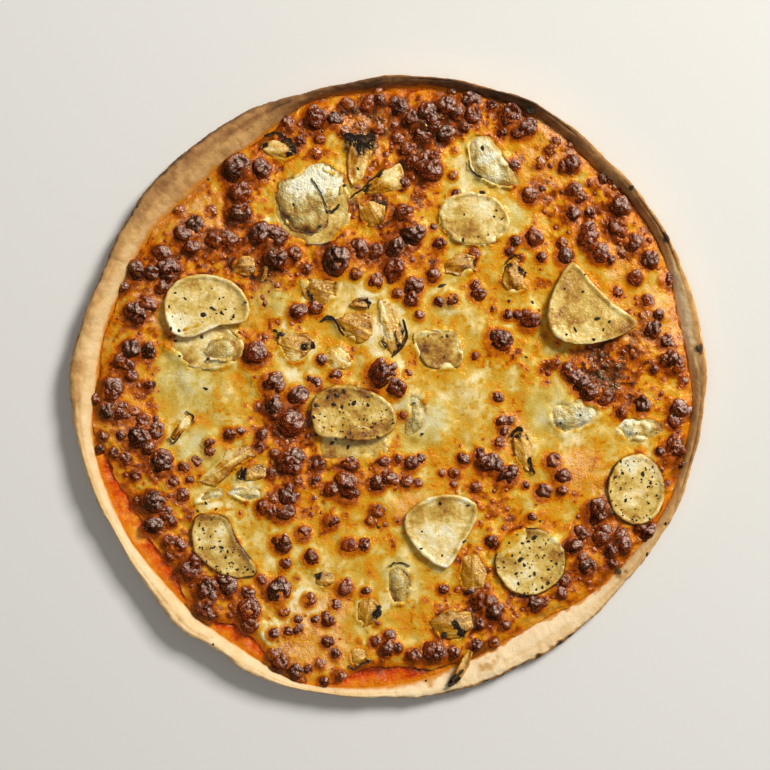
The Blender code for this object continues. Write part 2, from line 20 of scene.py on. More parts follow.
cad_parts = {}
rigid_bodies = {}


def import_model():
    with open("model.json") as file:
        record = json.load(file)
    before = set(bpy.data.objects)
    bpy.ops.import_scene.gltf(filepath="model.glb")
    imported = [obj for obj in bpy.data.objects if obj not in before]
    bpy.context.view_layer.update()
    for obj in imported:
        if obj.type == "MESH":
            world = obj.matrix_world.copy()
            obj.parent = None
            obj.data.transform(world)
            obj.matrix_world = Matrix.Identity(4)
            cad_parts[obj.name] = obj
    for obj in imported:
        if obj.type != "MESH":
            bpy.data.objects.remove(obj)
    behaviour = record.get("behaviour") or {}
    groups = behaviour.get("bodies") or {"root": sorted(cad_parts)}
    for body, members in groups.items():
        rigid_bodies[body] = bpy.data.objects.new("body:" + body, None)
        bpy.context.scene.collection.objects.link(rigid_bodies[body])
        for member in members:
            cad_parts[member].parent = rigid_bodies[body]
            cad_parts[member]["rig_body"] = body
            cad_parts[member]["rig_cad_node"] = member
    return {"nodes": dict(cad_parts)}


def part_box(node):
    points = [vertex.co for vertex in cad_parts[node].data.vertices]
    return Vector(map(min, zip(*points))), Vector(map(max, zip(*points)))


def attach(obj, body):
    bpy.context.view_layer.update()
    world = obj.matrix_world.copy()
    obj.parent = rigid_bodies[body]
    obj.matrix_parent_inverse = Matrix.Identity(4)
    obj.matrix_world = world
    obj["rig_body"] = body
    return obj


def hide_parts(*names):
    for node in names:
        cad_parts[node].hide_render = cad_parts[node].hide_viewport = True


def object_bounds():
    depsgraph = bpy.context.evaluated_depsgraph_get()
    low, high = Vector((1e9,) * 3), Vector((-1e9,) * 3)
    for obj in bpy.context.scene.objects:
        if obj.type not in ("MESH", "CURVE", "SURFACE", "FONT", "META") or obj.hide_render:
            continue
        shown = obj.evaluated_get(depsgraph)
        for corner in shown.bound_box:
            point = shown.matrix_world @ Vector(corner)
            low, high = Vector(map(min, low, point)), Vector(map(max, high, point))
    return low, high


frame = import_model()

cad_low, cad_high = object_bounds()
print("solids:", len(frame["nodes"]), "box in mm:", [round(1000 * v, 1) for v in cad_high - cad_low])

# %% [markdown]
# Sizes are written in millimetres, the unit a baker thinks in, and become metres only when a
# mesh is written. The heights below are the layers of the pizza. They are read from the solids
# instead of typed again, so they can't drift away from them.

# %% Layers and scene values
MM = 0.001
BODY = "root"


def height_range(node):
    low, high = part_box(node)
    return low.z / MM, high.z / MM


SAUCE_LOW, SAUCE_TOP = height_range("tomato_sauce")
CHEESE_LOW, _ = height_range("cheese")
TOPPING_LOW, _ = height_range("potato_slice_04")
BED_UNDER_TOPPINGS = 0.3
CHEESE_OVER_BED = 0.4
BED_TOP = TOPPING_LOW - BED_UNDER_TOPPINGS
CHEESE_LEVEL = BED_TOP + CHEESE_OVER_BED
TOP_LIMIT = cad_high.z / MM
print("sauce up to", SAUCE_TOP, "cheese level", CHEESE_LEVEL, "toppings from", TOPPING_LOW)

# %% [markdown]
# Almost everything here is uneven, and unevenness comes from noise: a table of random numbers,
# blended smoothly between its entries. Blender has noise in its shaders, but a shader can't
# move a point, so the same idea is written once for points. Changing the size of the noise
# changes what it stands for: 30 mm is a sagging layer, 6 mm a bubble, 1 mm a wrinkle.

# %% Noise and small helpers
NOISE_TABLE = np.random.default_rng(7).random((64, 64, 64))
NOISE_SHIFT = np.array((3.1, 7.7, 5.3))


def smooth(share):
    share = np.clip(share, 0.0, 1.0)
    return share * share * (3 - 2 * share)


def cloud(points, size, seed=0):
    """Random values from 0 to 1 at points in millimetres, changing over about size millimetres."""
    place = np.asarray(points, float) / size + seed * NOISE_SHIFT
    low = np.floor(place).astype(int)
    part = smooth(place - low)
    total = np.zeros(len(place))
    for corner in itertools.product((0, 1), repeat=3):
        weight = np.prod(np.where(corner, part, 1 - part), axis=1)
        i, j, k = ((low + corner) % len(NOISE_TABLE)).T
        total += weight * NOISE_TABLE[i, j, k]
    return total


def ridges(points, size, seed=0):
    """Noise folded into sharp crests, as wrinkles are: 1 on a crest, 0 far from one."""
    return 1 - np.abs(2 * cloud(points, size, seed) - 1)


def layered(points, *layers):
    """Noise of several sizes added up, centred on zero; each layer is (size, seed, height)."""
    return sum(height * (cloud(points, size, seed) - 0.5) for size, seed, height in layers)


def flat(x, y):
    return np.stack([x, y, np.zeros_like(x)], axis=1)


def direction_of(x, y):
    """Degrees round from +X."""
    return np.degrees(np.arctan2(y, x))


def polar(degrees, radius):
    """The x and y of places given by direction and radius."""
    return radius * np.cos(np.radians(degrees)), radius * np.sin(np.radians(degrees))


print("noise table", NOISE_TABLE.shape)

# %% [markdown]
# An operator acts on whatever is selected, and loading leaves the solids selected, so each
# piece starts with a clean selection. The helpers below read a mesh into an array, write it
# back, and paint a value onto its points. A painted value is how the shape tells the material
# where the oven was hottest.

# %% Mesh helpers
MERGED = 1e-6


def start_clean():
    if bpy.context.object and bpy.context.object.mode != "OBJECT":
        bpy.ops.object.mode_set(mode="OBJECT")
    bpy.ops.object.select_all(action="DESELECT")


def pick(piece):
    start_clean()
    piece.select_set(True)
    bpy.context.view_layer.objects.active = piece
    return piece


def vectors_of(elements, name):
    """One vector for each point, as an array."""
    values = np.empty(len(elements) * 3, np.float32)
    elements.foreach_get(name, values)
    return values.reshape(-1, 3).astype(float)


def points_of(piece):
    return vectors_of(piece.data.vertices, "co") / MM


def normals_of(piece):
    return vectors_of(piece.data.vertex_normals, "vector")


def move_points(piece, points):
    piece.data.vertices.foreach_set("co", (points * MM).astype(np.float32).ravel())
    piece.data.update()


def move_under(piece, points, limit=TOP_LIMIT):
    """Moves the points, but none of them above the highest point of the solids."""
    points[:, 2] = np.minimum(points[:, 2], limit)
    move_points(piece, points)


def paint(piece, name, values):
    """Stores one value per point, which the piece's material reads by this name."""
    layer = piece.data.attributes.get(name) or piece.data.attributes.new(name, "FLOAT", "POINT")
    layer.data.foreach_set("value", np.clip(values, 0, 1).astype(np.float32))


def edit(piece, *steps):
    """Runs edit mode operators, each given as (operator, settings), on the whole piece."""
    pick(piece)
    bpy.ops.object.mode_set(mode="EDIT")
    bpy.ops.mesh.select_all(action="SELECT")
    for operator, settings in steps:
        operator(**settings)
    bpy.ops.object.mode_set(mode="OBJECT")


def apply_modifier(piece, kind, **settings):
    pick(piece)
    modifier = piece.modifiers.new(kind.title(), kind)
    for name, value in settings.items():
        setattr(modifier, name, value)
    bpy.ops.object.modifier_apply(modifier=modifier.name)


def twin(piece, name):
    """A copy of a piece with a mesh of its own."""
    other = piece.copy()
    other.data = piece.data.copy()
    other.name = name
    bpy.context.scene.collection.objects.link(other)
    return other


def join(name, pieces):
    pick(pieces[0])
    for piece in pieces:
        piece.select_set(True)
    bpy.ops.object.join()
    pieces[0].name = name
    return pieces[0]


def triangles(piece):
    return sum(len(face.vertices) - 2 for face in piece.data.polygons)


def shade_smooth(piece, degrees=60):
    pick(piece)
    bpy.ops.object.shade_smooth_by_angle(angle=math.radians(degrees))


def settle(piece, material, slot, *replaced):
    """The last step of every piece: its material, its body and the solids it stands for. slot is not used.
    """
    piece.data.materials.clear()
    piece.data.materials.append(material)
    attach(piece, BODY)
    if replaced:
        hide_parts(*replaced)
    print(piece.name, triangles(piece), "triangles")


def copy_of(node, name):
    """A copy of a solid with its loose triangles merged, ready to be worked on."""
    piece = twin(frame["nodes"][node], name)
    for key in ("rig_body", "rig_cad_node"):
        if key in piece:
            del piece[key]
    piece.parent = None
    edit(piece, (bpy.ops.mesh.remove_doubles, {"threshold": MERGED}))
    piece.data.materials.clear()
    return piece


def points_of_node(node):
    """The merged points of a solid, in millimetres."""
    return np.unique(np.round(points_of(frame["nodes"][node]), 4), axis=0)


print("helpers ready")

# %% [markdown]
# The outline of a topping decides a lot: the cheese lies flat under it, its own edge browns, and
# herbs stay inside it. Each outline is read from the solid's underside, the faces that look down.
# The last tip of onion lies across the rim, so it isn't one of the toppings that lie in cheese.

# %% Outlines of the toppings
LOOKS_DOWN = -0.3
NEVER_ZERO = 1e-9


def outline_of(node):
    """The edge of a solid's underside as a closed line of (x, y), in millimetres."""
    mesh = bmesh.new()
    mesh.from_mesh(frame["nodes"][node].data)
    bmesh.ops.remove_doubles(mesh, verts=mesh.verts, dist=MERGED)
    mesh.normal_update()
    under = {face for face in mesh.faces if face.normal.z < LOOKS_DOWN}
    after = {}
    for face in under:
        for loop in face.loops:
            if not any(other in under for other in loop.edge.link_faces if other is not face):
                after[loop.vert.index] = (loop.link_loop_next.vert.index, loop.vert.co.copy())
    start = min(after)
    line, here = [], start
    while True:
        here, spot = after[here]
        line.append((spot.x / MM, spot.y / MM))
        if here == start:
            break
    mesh.free()
    return np.array(line)


def distance_to(outline, x, y):
    """Distance in millimetres from points to an outline, below zero inside it."""
    nearest = np.full(len(x), np.inf)
    crossings = np.zeros(len(x), int)
    for (ax, ay), (bx, by) in zip(outline, np.roll(outline, -1, axis=0)):
        dx, dy = bx - ax, by - ay
        along = np.clip(((x - ax) * dx + (y - ay) * dy) / (dx * dx + dy * dy), 0, 1)
        nearest = np.minimum(nearest, np.hypot(x - ax - along * dx, y - ay - along * dy))
        spans = (ay > y) != (by > y)
        with np.errstate(divide="ignore", invalid="ignore"):
            crossings += spans & (x < ax + dx * (y - ay) / (dy if dy else NEVER_ZERO))
    return np.where(crossings % 2 == 1, -nearest, nearest)


TOPPINGS = sorted(n for n in frame["nodes"] if n.startswith(("potato", "blue_cheese", "onion")))
RIM_ONION = max(node for node in TOPPINGS if node.startswith("onion"))
OUTLINES = {node: outline_of(node) for node in TOPPINGS}
LYING = [node for node in TOPPINGS if node != RIM_ONION]
print(len(OUTLINES), "outlines, the first with", len(OUTLINES[TOPPINGS[0]]), "points")

# %% [markdown]
# The photograph looks straight down from far away, so the camera hangs above the middle with a
# long lens. The light is one broad soft lamp to the upper right, which leaves soft shadows to the
# lower left and puts a wet glint on every blister. A weak lamp on the other side and a faint sky
# keep the shadows open.

# %% Camera, light and floor
FRAME_WIDTH = 385 * MM
LENS = 85.0
SENSOR = 36.0
VIEW_CENTRE = (-1.5 * MM, 1.0 * MM)
VIEW_DISTANCE = FRAME_WIDTH * LENS / SENSOR
FLOOR_SIZE = 4.0
FLOOR_DROP = 0.4 * MM
FLOOR_COLOUR = (0.80, 0.81, 0.84, 1.0)
FLOOR_ROUGHNESS = 0.8
SKY_COLOUR = (1.0, 0.97, 0.88, 1.0)
SKY_STRENGTH = 0.155

scene = bpy.context.scene
camera_data = bpy.data.cameras.new("camera")
camera_data.lens = LENS
camera_data.sensor_width = SENSOR
camera = bpy.data.objects.new("camera", camera_data)
camera.location = (*VIEW_CENTRE, VIEW_DISTANCE + CHEESE_LEVEL * MM)
scene.collection.objects.link(camera)
scene.camera = camera
scene.view_settings.view_transform = "Standard"


def way_to(azimuth, elevation):
    """The direction of a lamp, from degrees round from +X and degrees up."""
    across, up = math.radians(azimuth), math.radians(elevation)
    return Vector((math.cos(across) * math.cos(up), math.sin(across) * math.cos(up), math.sin(up)))


def add_lamp(name, direction, distance, size, power, colour):
    """A square lamp that faces the pizza from this direction."""
    data = bpy.data.lights.new(name, "AREA")
    data.shape = "SQUARE"
    data.size = size
    data.energy = power
    data.color = colour
    lamp = bpy.data.objects.new(name, data)
    lamp.location = direction * distance
    lamp.rotation_euler = (-direction).to_track_quat("-Z", "Y").to_euler()
    scene.collection.objects.link(lamp)
    return lamp


WINDOW_WAY = way_to(azimuth=44, elevation=40)
add_lamp("window", WINDOW_WAY, distance=2.4, size=0.7, power=65.0, colour=(1.0, 0.95, 0.83))
FILL_WAY = way_to(azimuth=215, elevation=62)
add_lamp("fill", FILL_WAY, distance=1.8, size=1.6, power=3.6, colour=(1.0, 0.96, 0.86))
world = bpy.data.worlds.new("sky")
world.use_nodes = True
sky = world.node_tree.nodes["Background"]
sky.inputs["Color"].default_value = SKY_COLOUR
sky.inputs["Strength"].default_value = SKY_STRENGTH
scene.world = world

start_clean()
bpy.ops.mesh.primitive_grid_add(
    x_subdivisions=2, y_subdivisions=2, size=FLOOR_SIZE, location=(0, 0, -FLOOR_DROP))
floor = bpy.context.object
floor.name = "floor"
floor_material = bpy.data.materials.new("pale floor")
floor_material.use_nodes = True
floor_shader = floor_material.node_tree.nodes["Principled BSDF"]
floor_shader.inputs["Base Color"].default_value = FLOOR_COLOUR
floor_shader.inputs["Roughness"].default_value = FLOOR_ROUGHNESS
floor.data.materials.append(floor_material)
print("camera at", round(camera.location.z, 3), "m, frame", FRAME_WIDTH, "m wide")

# %% [markdown]
# Materials next. A colour ramp that runs from raw to burnt is the heart of each one, because
# everything on this pizza has been through the same oven: the points of a mesh carry how far they
# were cooked, and the ramp turns that into a colour. Effects that several materials share are node
# groups: one breaks an even value into mottles, one scatters dark specks, one makes fine relief.

# %% Node helpers
def give(tree, socket, value):
    """Links a socket to an input, or sets the input to a value."""
    if isinstance(value, bpy.types.NodeSocket):
        tree.links.new(value, socket)
    else:
        socket.default_value = value


def put(tree, kind, sockets=None, **settings):
    """Adds a node, sets its options, and sets or links its inputs."""
    node = tree.nodes.new(kind)
    for name, value in settings.items():
        setattr(node, name, value)
    for name, value in (sockets or {}).items():
        give(tree, node.inputs[name], value)
    return node


def maths(tree, operation, *values, clamp=False):
    """One Math node: its result as a socket."""
    node = put(tree, "ShaderNodeMath", dict(enumerate(values)), operation=operation, use_clamp=clamp)
    return node.outputs[0]


def screen_colour(red, green, blue):
    """A colour given as it looks on screen, 0 to 255, turned into the linear light of a shader."""
    def linear(value):
        share = value / 255
        return share / 12.92 if share < 0.04045 else ((share + 0.055) / 1.055) ** 2.4
    return (linear(red), linear(green), linear(blue), 1.0)


def tint(tree, colour, mask, amount, screen):
    """The colour blended towards a screen colour by mask times amount."""
    share = maths(tree, "MULTIPLY", mask, amount, clamp=True)
    node = put(tree, "ShaderNodeMix", data_type="RGBA")
    for name, value in (("Factor_Float", share), ("A_Color", colour), ("B_Color", screen_colour(*screen))):
        give(tree, next(s for s in node.inputs if s.identifier == name), value)
    return next(s for s in node.outputs if s.identifier == "Result_Color")


def painted(tree, name):
    return put(tree, "ShaderNodeAttribute", attribute_name=name).outputs["Fac"]


def ramp(tree, value, stops):
    """A colour ramp from (place, screen colour) pairs."""
    node = put(tree, "ShaderNodeValToRGB", {"Fac": value})
    elements = node.color_ramp.elements
    while len(elements) < len(stops):
        elements.new(0.5)
    for element, (place, colour) in zip(elements, stops):
        element.position = place
        element.color = screen_colour(*colour)
    return node.outputs["Color"]


def new_group(name, inputs, outputs):
    """A node group with named inputs (name, default) and named outputs, all single values."""
    group = bpy.data.node_groups.new(name, "ShaderNodeTree")
    for label, default in inputs:
        socket = group.interface.new_socket(label, in_out="INPUT", socket_type="NodeSocketFloat")
        socket.default_value = default
    for label in outputs:
        group.interface.new_socket(label, in_out="OUTPUT", socket_type="NodeSocketFloat")
    return group, group.nodes.new("NodeGroupInput"), group.nodes.new("NodeGroupOutput")


def use(tree, group, **values):
    """Places a group in a material and returns its output."""
    return put(tree, "ShaderNodeGroup", values, node_tree=group).outputs[0]


print("node helpers ready")

# %% [markdown]
# Mottle adds two sizes of noise to a value, so that an even brown breaks up the way melted
# cheese does. Speckle gives a mask of small scattered dots, from the centres of Voronoi cells.
# Skin gives a height for a Bump node: soft lumps, fine wrinkles and tiny pits in one. Crackle
# gives thin winding lines, where pale highlights are painted on the crests of wrinkled skin.

# %% Shared effects
PER_METRE = 1000.0
MOTTLE_SIZES = {"Coarse": 7.0, "Fine": 1.9}
LUMP_SIZE, WRINKLE_SIZE, PIT_SIZE = 2.6, 1.5, 1.3
DOT_SHARPNESS = 9.0


def noise_node(tree, place, millimetres):
    """Noise whose features are about this many millimetres wide."""
    return put(tree, "ShaderNodeTexNoise", {
        "Vector": place, "Scale": PER_METRE / millimetres, "Detail": 3.0, "Roughness": 0.55,
    }).outputs["Fac"]


def object_place(tree):
    return put(tree, "ShaderNodeTexCoord").outputs["Object"]


def make_mottle():
    group, given, result = new_group(
        "mottle", (("Value", 0.5), ("Coarse", 0.3), ("Fine", 0.2), ("Shift", 0.0)), ("Value",))
    shift = put(group, "ShaderNodeCombineXYZ", {"X": given.outputs["Shift"], "Z": given.outputs["Shift"]})
    place = put(group, "ShaderNodeVectorMath", {
        0: object_place(group), 1: shift.outputs[0]}, operation="ADD")
    value = given.outputs["Value"]
    for amount, millimetres in MOTTLE_SIZES.items():
        centred = maths(group, "SUBTRACT", noise_node(group, place.outputs[0], millimetres), 0.5)
        value = maths(group, "ADD", value, maths(group, "MULTIPLY", centred, given.outputs[amount]))
    group.links.new(value, result.inputs["Value"])
    return group


def make_speckle():
    group, given, result = new_group(
        "speckle", (("Size", 400.0), ("Radius", 0.2), ("Share", 0.5)), ("Mask",))
    cells = put(group, "ShaderNodeTexVoronoi", {
        "Vector": object_place(group), "Scale": given.outputs["Size"]})
    near = maths(group, "SUBTRACT", given.outputs["Radius"], cells.outputs["Distance"])
    dot = maths(group, "MULTIPLY", near, DOT_SHARPNESS, clamp=True)
    chance = put(group, "ShaderNodeSeparateColor", {"Color": cells.outputs["Color"]}).outputs["Red"]
    chosen = maths(group, "LESS_THAN", chance, given.outputs["Share"])
    group.links.new(maths(group, "MULTIPLY", dot, chosen), result.inputs["Mask"])
    return group


def make_skin():
    group, given, result = new_group("skin", (
        ("Size", 1.0), ("Lumps", 0.5), ("Wrinkles", 0.4), ("Pits", 0.2)), ("Height",))
    place = put(group, "ShaderNodeVectorMath", {
        0: object_place(group), "Scale": given.outputs["Size"]}, operation="SCALE").outputs[0]
    crests = put(group, "ShaderNodeTexNoise", {
        "Vector": place, "Scale": PER_METRE / WRINKLE_SIZE,
        "Detail": 3.0, "Roughness": 0.6, "Offset": 0.9, "Gain": 1.2,
    }, noise_type="RIDGED_MULTIFRACTAL").outputs["Fac"]
    pits = put(group, "ShaderNodeTexVoronoi", {
        "Vector": place, "Scale": PER_METRE / PIT_SIZE}, feature="SMOOTH_F1").outputs["Distance"]
    height = maths(group, "MULTIPLY", noise_node(group, place, LUMP_SIZE), given.outputs["Lumps"])
    for part, amount in ((crests, "Wrinkles"), (pits, "Pits")):
        height = maths(group, "ADD", height, maths(group, "MULTIPLY", part, given.outputs[amount]))
    group.links.new(height, result.inputs["Height"])
    return group


def make_crackle():
    group, given, result = new_group("crackle", (("Size", 1.4), ("Width", 0.2)), ("Mask",))
    noise = put(group, "ShaderNodeTexNoise", {
        "Vector": object_place(group), "Scale": maths(group, "DIVIDE", PER_METRE, given.outputs["Size"]),
        "Detail": 1.0, "Distortion": 0.7}).outputs["Fac"]
    from_middle = maths(group, "ABSOLUTE", maths(group, "SUBTRACT", noise, 0.5))
    half_width = maths(group, "MULTIPLY", given.outputs["Width"], 0.5)
    line = maths(group, "SUBTRACT", 1.0, maths(group, "DIVIDE", from_middle, half_width), clamp=True)
    group.links.new(line, result.inputs["Mask"])
    return group


MOTTLE, SPECKLE, SKIN, CRACKLE = make_mottle(), make_speckle(), make_skin(), make_crackle()
GLINT_WAY = np.array((WINDOW_WAY + Vector((0, 0, 1))).normalized())


def mottled(tree, value, coarse, fine, shift=0.0):
    """A painted value given by its name, or a fixed one, broken up into mottles."""
    value = painted(tree, value) if isinstance(value, str) else value
    return use(tree, MOTTLE, Value=value, Coarse=coarse, Fine=fine, Shift=shift)


def lit_side(piece, least):
    """How far each point's surface turns towards the window, 0 to 1; highlights are painted where it is
    high.
    """
    return smooth((normals_of(piece) @ GLINT_WAY - least) / (1 - least))


WHITE = (1.0, 1.0, 1.0, 1.0)
OILY = (1.0, 0.55, 0.2, 1.0)
SOFT_SPREAD = (1.0, 0.55, 0.25)


def new_material(name, roughness, shine=0.35, coat=0.0, coat_roughness=0.15,
                 soft=0.0, soft_reach=1.5, gleam=WHITE):
    """A Principled material with the values that are the same all over it. Reach is in millimetres."""
    material = bpy.data.materials.new(name)
    material.use_nodes = True
    tree = material.node_tree
    shader = tree.nodes["Principled BSDF"]
    shader.inputs["Roughness"].default_value = roughness
    shader.inputs["Specular IOR Level"].default_value = shine
    shader.inputs["Specular Tint"].default_value = gleam
    shader.inputs["Coat Weight"].default_value = coat
    shader.inputs["Coat Roughness"].default_value = coat_roughness
    shader.inputs["Subsurface Weight"].default_value = soft
    shader.inputs["Subsurface Scale"].default_value = soft_reach * MM
    shader.inputs["Subsurface Radius"].default_value = SOFT_SPREAD
    return material, tree, shader


def polish(tree, shader, rough, mask, amount):
    """Roughness that drops by this amount where the mask is 1."""
    drop = maths(tree, "MULTIPLY", mask, amount)
    tree.links.new(maths(tree, "SUBTRACT", rough, drop), shader.inputs["Roughness"])


def dress(tree, shader, colour, height, depth_mm):
    """Gives the shader its colour and a relief of this depth."""
    tree.links.new(colour, shader.inputs["Base Color"])
    bump = put(tree, "ShaderNodeBump", {"Height": height, "Strength": 1.0, "Distance": depth_mm * MM})
    tree.links.new(bump.outputs["Normal"], shader.inputs["Normal"])


print("groups:", [group.name for group in (MOTTLE, SPECKLE, SKIN, CRACKLE)])

# %% [markdown]
# Dough bakes from a floury cream to tan and at last to a sooty brown. Where the oil of the
# topping soaks into the foot of the rim it turns orange, which is a second painted value.

# %% Dough material
def make_dough():
    material, tree, shader = new_material("baked dough", 0.78, soft=0.06, soft_reach=1.2)
    colour = ramp(tree, mottled(tree, "toast", coarse=0.26, fine=0.16), (
        (0.0, (250, 225, 186)), (0.22, (234, 200, 148)), (0.42, (208, 162, 102)),
        (0.6, (164, 116, 68)), (0.8, (104, 70, 42)), (1.0, (44, 30, 22)),
    ))
    flecks = use(tree, SPECKLE, Size=260.0, Radius=0.2, Share=0.12)
    colour = tint(tree, colour, flecks, 0.4, (120, 78, 44))
    oil = painted(tree, "oil")
    colour = tint(tree, colour, oil, 0.9, (214, 138, 28))
    polish(tree, shader, rough=0.8, mask=oil, amount=0.42)
    dress(tree, shader, colour, use(tree, SKIN, Lumps=0.8, Wrinkles=0.12, Pits=0.25), depth_mm=0.35)
    return material


DOUGH = make_dough()
print(DOUGH.name)

# %% [markdown]
# # The crust
#
# The rim of a hand-stretched pizza is a low wall that changes in width and height all the way
# round. It could be turned on a lathe, but then it would be round. Here a flat grid is wrapped
# round instead: its long side becomes the turn, its short side the way across the rim, and every
# point goes where the solid's own rings are, with smooth curves between them. Noise then adds
# what dough has: swellings, creases and a crumbly outer edge.

# %% Read the rim from the solid
RIM_TURNS = 120
BAKED_TURNS = 1000
ROWS_ACROSS = 42


def turn_of(points):
    """Which of the crust's evenly spaced directions each point stands in."""
    return np.rint(direction_of(points[:, 0], points[:, 1]) * RIM_TURNS / 360).astype(int) % RIM_TURNS


def rim_rings():
    """The crust's rings as (ring, turn, [radius, height]), from the inner foot out and under."""
    points = points_of_node("crust")
    radius, turn = np.hypot(points[:, 0], points[:, 1]), turn_of(points)
    rings = []
    for index in range(RIM_TURNS):
        mine = turn == index
        rows = sorted(zip(radius[mine], points[mine, 2]))
        base = min(rows, key=lambda row: row[1])
        rows.remove(base)
        lower = min(rows, key=lambda row: row[1])
        rows.remove(lower)
        rings.append([*rows, lower, base])
    return np.array(rings).transpose(1, 0, 2)


def spline(before, start, end, after, part):
    """A smooth curve from start to end that also follows the values on either side."""
    bend = 2 * before - 5 * start + 4 * end - after
    turn = -before + 3 * start - 3 * end + after
    return 0.5 * (2 * start + (end - before) * part + bend * part ** 2 + turn * part ** 3)


def between(values, place, closed):
    """Smooth values between evenly spaced rows; place counts in rows."""
    count = len(values)
    low = np.floor(place).astype(int)
    part = (place - low).reshape(-1, *([1] * (values.ndim - 1)))
    near = (low + step for step in (-1, 0, 1, 2))
    return spline(*(values[i % count if closed else np.clip(i, 0, count - 1)] for i in near), part)


def around(values, degrees):
    """A value at directions in degrees, from evenly spaced values that start at +X."""
    values = np.asarray(values, float)
    return between(values, np.mod(degrees, 360) / 360 * len(values), closed=True)


RINGS = rim_rings()
print("rings:", RINGS.shape, "widest radius", RINGS[..., 0].max().round(1), "mm")

# %% [markdown]
# How dark the rim is comes partly from how brown it baked and partly from painted light and shade.
# These lists go round it in steps of 15 degrees, for its inner slope, its crest and its outer side:
# pale to the lower left, dark towards the top. The dark inner slope under the top of the rim and the
# dark outer side to the upper left are painted shade, and the pale inner slope near 15 degrees is
# painted light. Single burns and drips are marked by direction, radius and reach.

# %% Wrap and bake the rim
SLOPE_TOAST_AND_SHADING = (
    0.44, -0.05, 0.52, 0.56, 0.70, 0.80, 0.76, 0.62, 0.44, 0.38, 0.32, 0.24,
    0.20, 0.12, 0.08, 0.08, 0.08, 0.12, 0.0, -0.08, -0.10, 0.02, 0.30, 0.42,
)
CREST_TOAST = (
    0.56, 0.48, 0.58, 0.62, 0.72, 0.80, 0.78, 0.70, 0.60, 0.56, 0.48, 0.42,
    0.42, 0.32, 0.20, 0.18, 0.18, 0.22, 0.10, 0.04, 0.06, 0.18, 0.42, 0.54,
)
SIDE_TOAST_AND_SHADING = (
    0.28, 0.26, 0.30, 0.34, 0.30, 0.28, 0.34, 0.54, 0.70, 0.72, 0.64, 0.52,
    0.46, 0.40, 0.36, 0.36, 0.40, 0.46, 0.44, 0.50, 0.50, 0.44, 0.36, 0.32,
)
OIL_REACH = (
    1.0, 0.7, 1.0, 1.2, 1.2, 1.8, 2.2, 2.0, 1.6, 3.2, 2.6, 2.0,
    1.6, 1.8, 2.2, 2.2, 1.4, 1.0, 3.4, 0.7, 0.4, 0.6, 1.2, 1.4,
)
RIM_BURNS = (
    (7, 158, 2.0), (28, 157.5, 2.0), (117, 157, 1.2), (128, 157.4, 1.3), (129.5, 157.5, 1.3),
    (131, 158, 1.2), (132.2, 157.8, 1.3), (133.6, 157.6, 1.4), (135, 158, 1.2), (136.4, 157.9, 1.2),
    (138, 157.8, 1.4), (139.6, 158, 1.2), (141, 158, 1.3), (142.6, 158, 1.1), (278, 151.0, 1.4),
    (288.6, 148.6, 1.6), (289.6, 147.6, 2.2), (291, 146.6, 2.0), (292, 145.8, 1.4), (288.5, 155, 1.5),
    (292, 155.4, 1.3), (294, 155.2, 1.3), (296, 155.4, 1.2), (299, 155, 1.4), (306, 154.4, 1.4),
    (304, 154.6, 1.2), (254, 153, 1.2), (219, 152, 0.8), (181, 160, 1.2), (205, 156, 0.8),
    (156, 157.6, 1.2), (283, 152, 1.6), (321, 149, 1.6), (322, 150, 1.2), (327, 156, 1.4), (334, 156, 1.2),
)
BURN_DEPTH = 0.42
MM_PER_DEGREE, MM_PER_ROW = 2.7, 1.3
RING_SEAM = 1e-5
CREASE_DEPTH, CREASE_WIDTH = 0.35, 2.4
GROOVE_DEPTH, GROOVE_ROW, GROOVE_WIDTH = 0.45, 3.1, 0.35
CRUMB_DEPTH, CRUMB_SIZE = 0.35, 0.9
CREST_ROW = 4.0
SIDE_ROW = 4.3
UNDERSIDE_ROW = 6.2
UNDERSIDE_TOAST = 0.55


def marks(points, spots, rag=0.5):
    """A mask of round marks (x, y, radius) with ragged edges."""
    x, y = points[:, 0], points[:, 1]
    uneven = 1 + rag * (2 * cloud(points, 2.0, 71) - 1)
    mask = np.zeros(len(points))
    for mx, my, radius in spots:
        mask = np.maximum(mask, smooth(1.6 - 1.1 * np.hypot(x - mx, y - my) / (radius * uneven)))
    return mask


def wrapped_grid(name, turns, rows):
    """A grid laid in a ring, its ends merged: the piece, each point's direction and its place across."""
    start_clean()
    bpy.ops.mesh.primitive_grid_add(x_subdivisions=turns, y_subdivisions=rows, size=1)
    piece = bpy.context.object
    piece.name = name
    spots = points_of(piece) * MM
    move_points(piece, flat(*polar(360 * (spots[:, 0] + 0.5), spots[:, 1] + 1.5)) / MM)
    edit(piece, (bpy.ops.mesh.remove_doubles, {"threshold": RING_SEAM}))
    x, y, _ = points_of(piece).T * MM
    return piece, direction_of(x, y), np.hypot(x, y) - 1


def close_ring(piece):
    """Fills the two openings of a ring that has its final shape, and turns the faces outwards."""
    edit(piece, (bpy.ops.mesh.fill_holes, {"sides": 0}),
         (bpy.ops.mesh.normals_make_consistent, {"inside": False}))


def rim_shape(degrees, row):
    """Radius and height on the solid's rings at these directions and rows, with curves between them."""
    by_ring = np.stack([around(ring, degrees) for ring in RINGS])
    low = np.clip(np.floor(row).astype(int), 0, len(RINGS) - 2)
    index = np.arange(len(row))
    near = (by_ring[np.clip(low + step, 0, len(RINGS) - 1), index] for step in (-1, 0, 1, 2))
    return spline(*near, (row - low)[:, None]).T


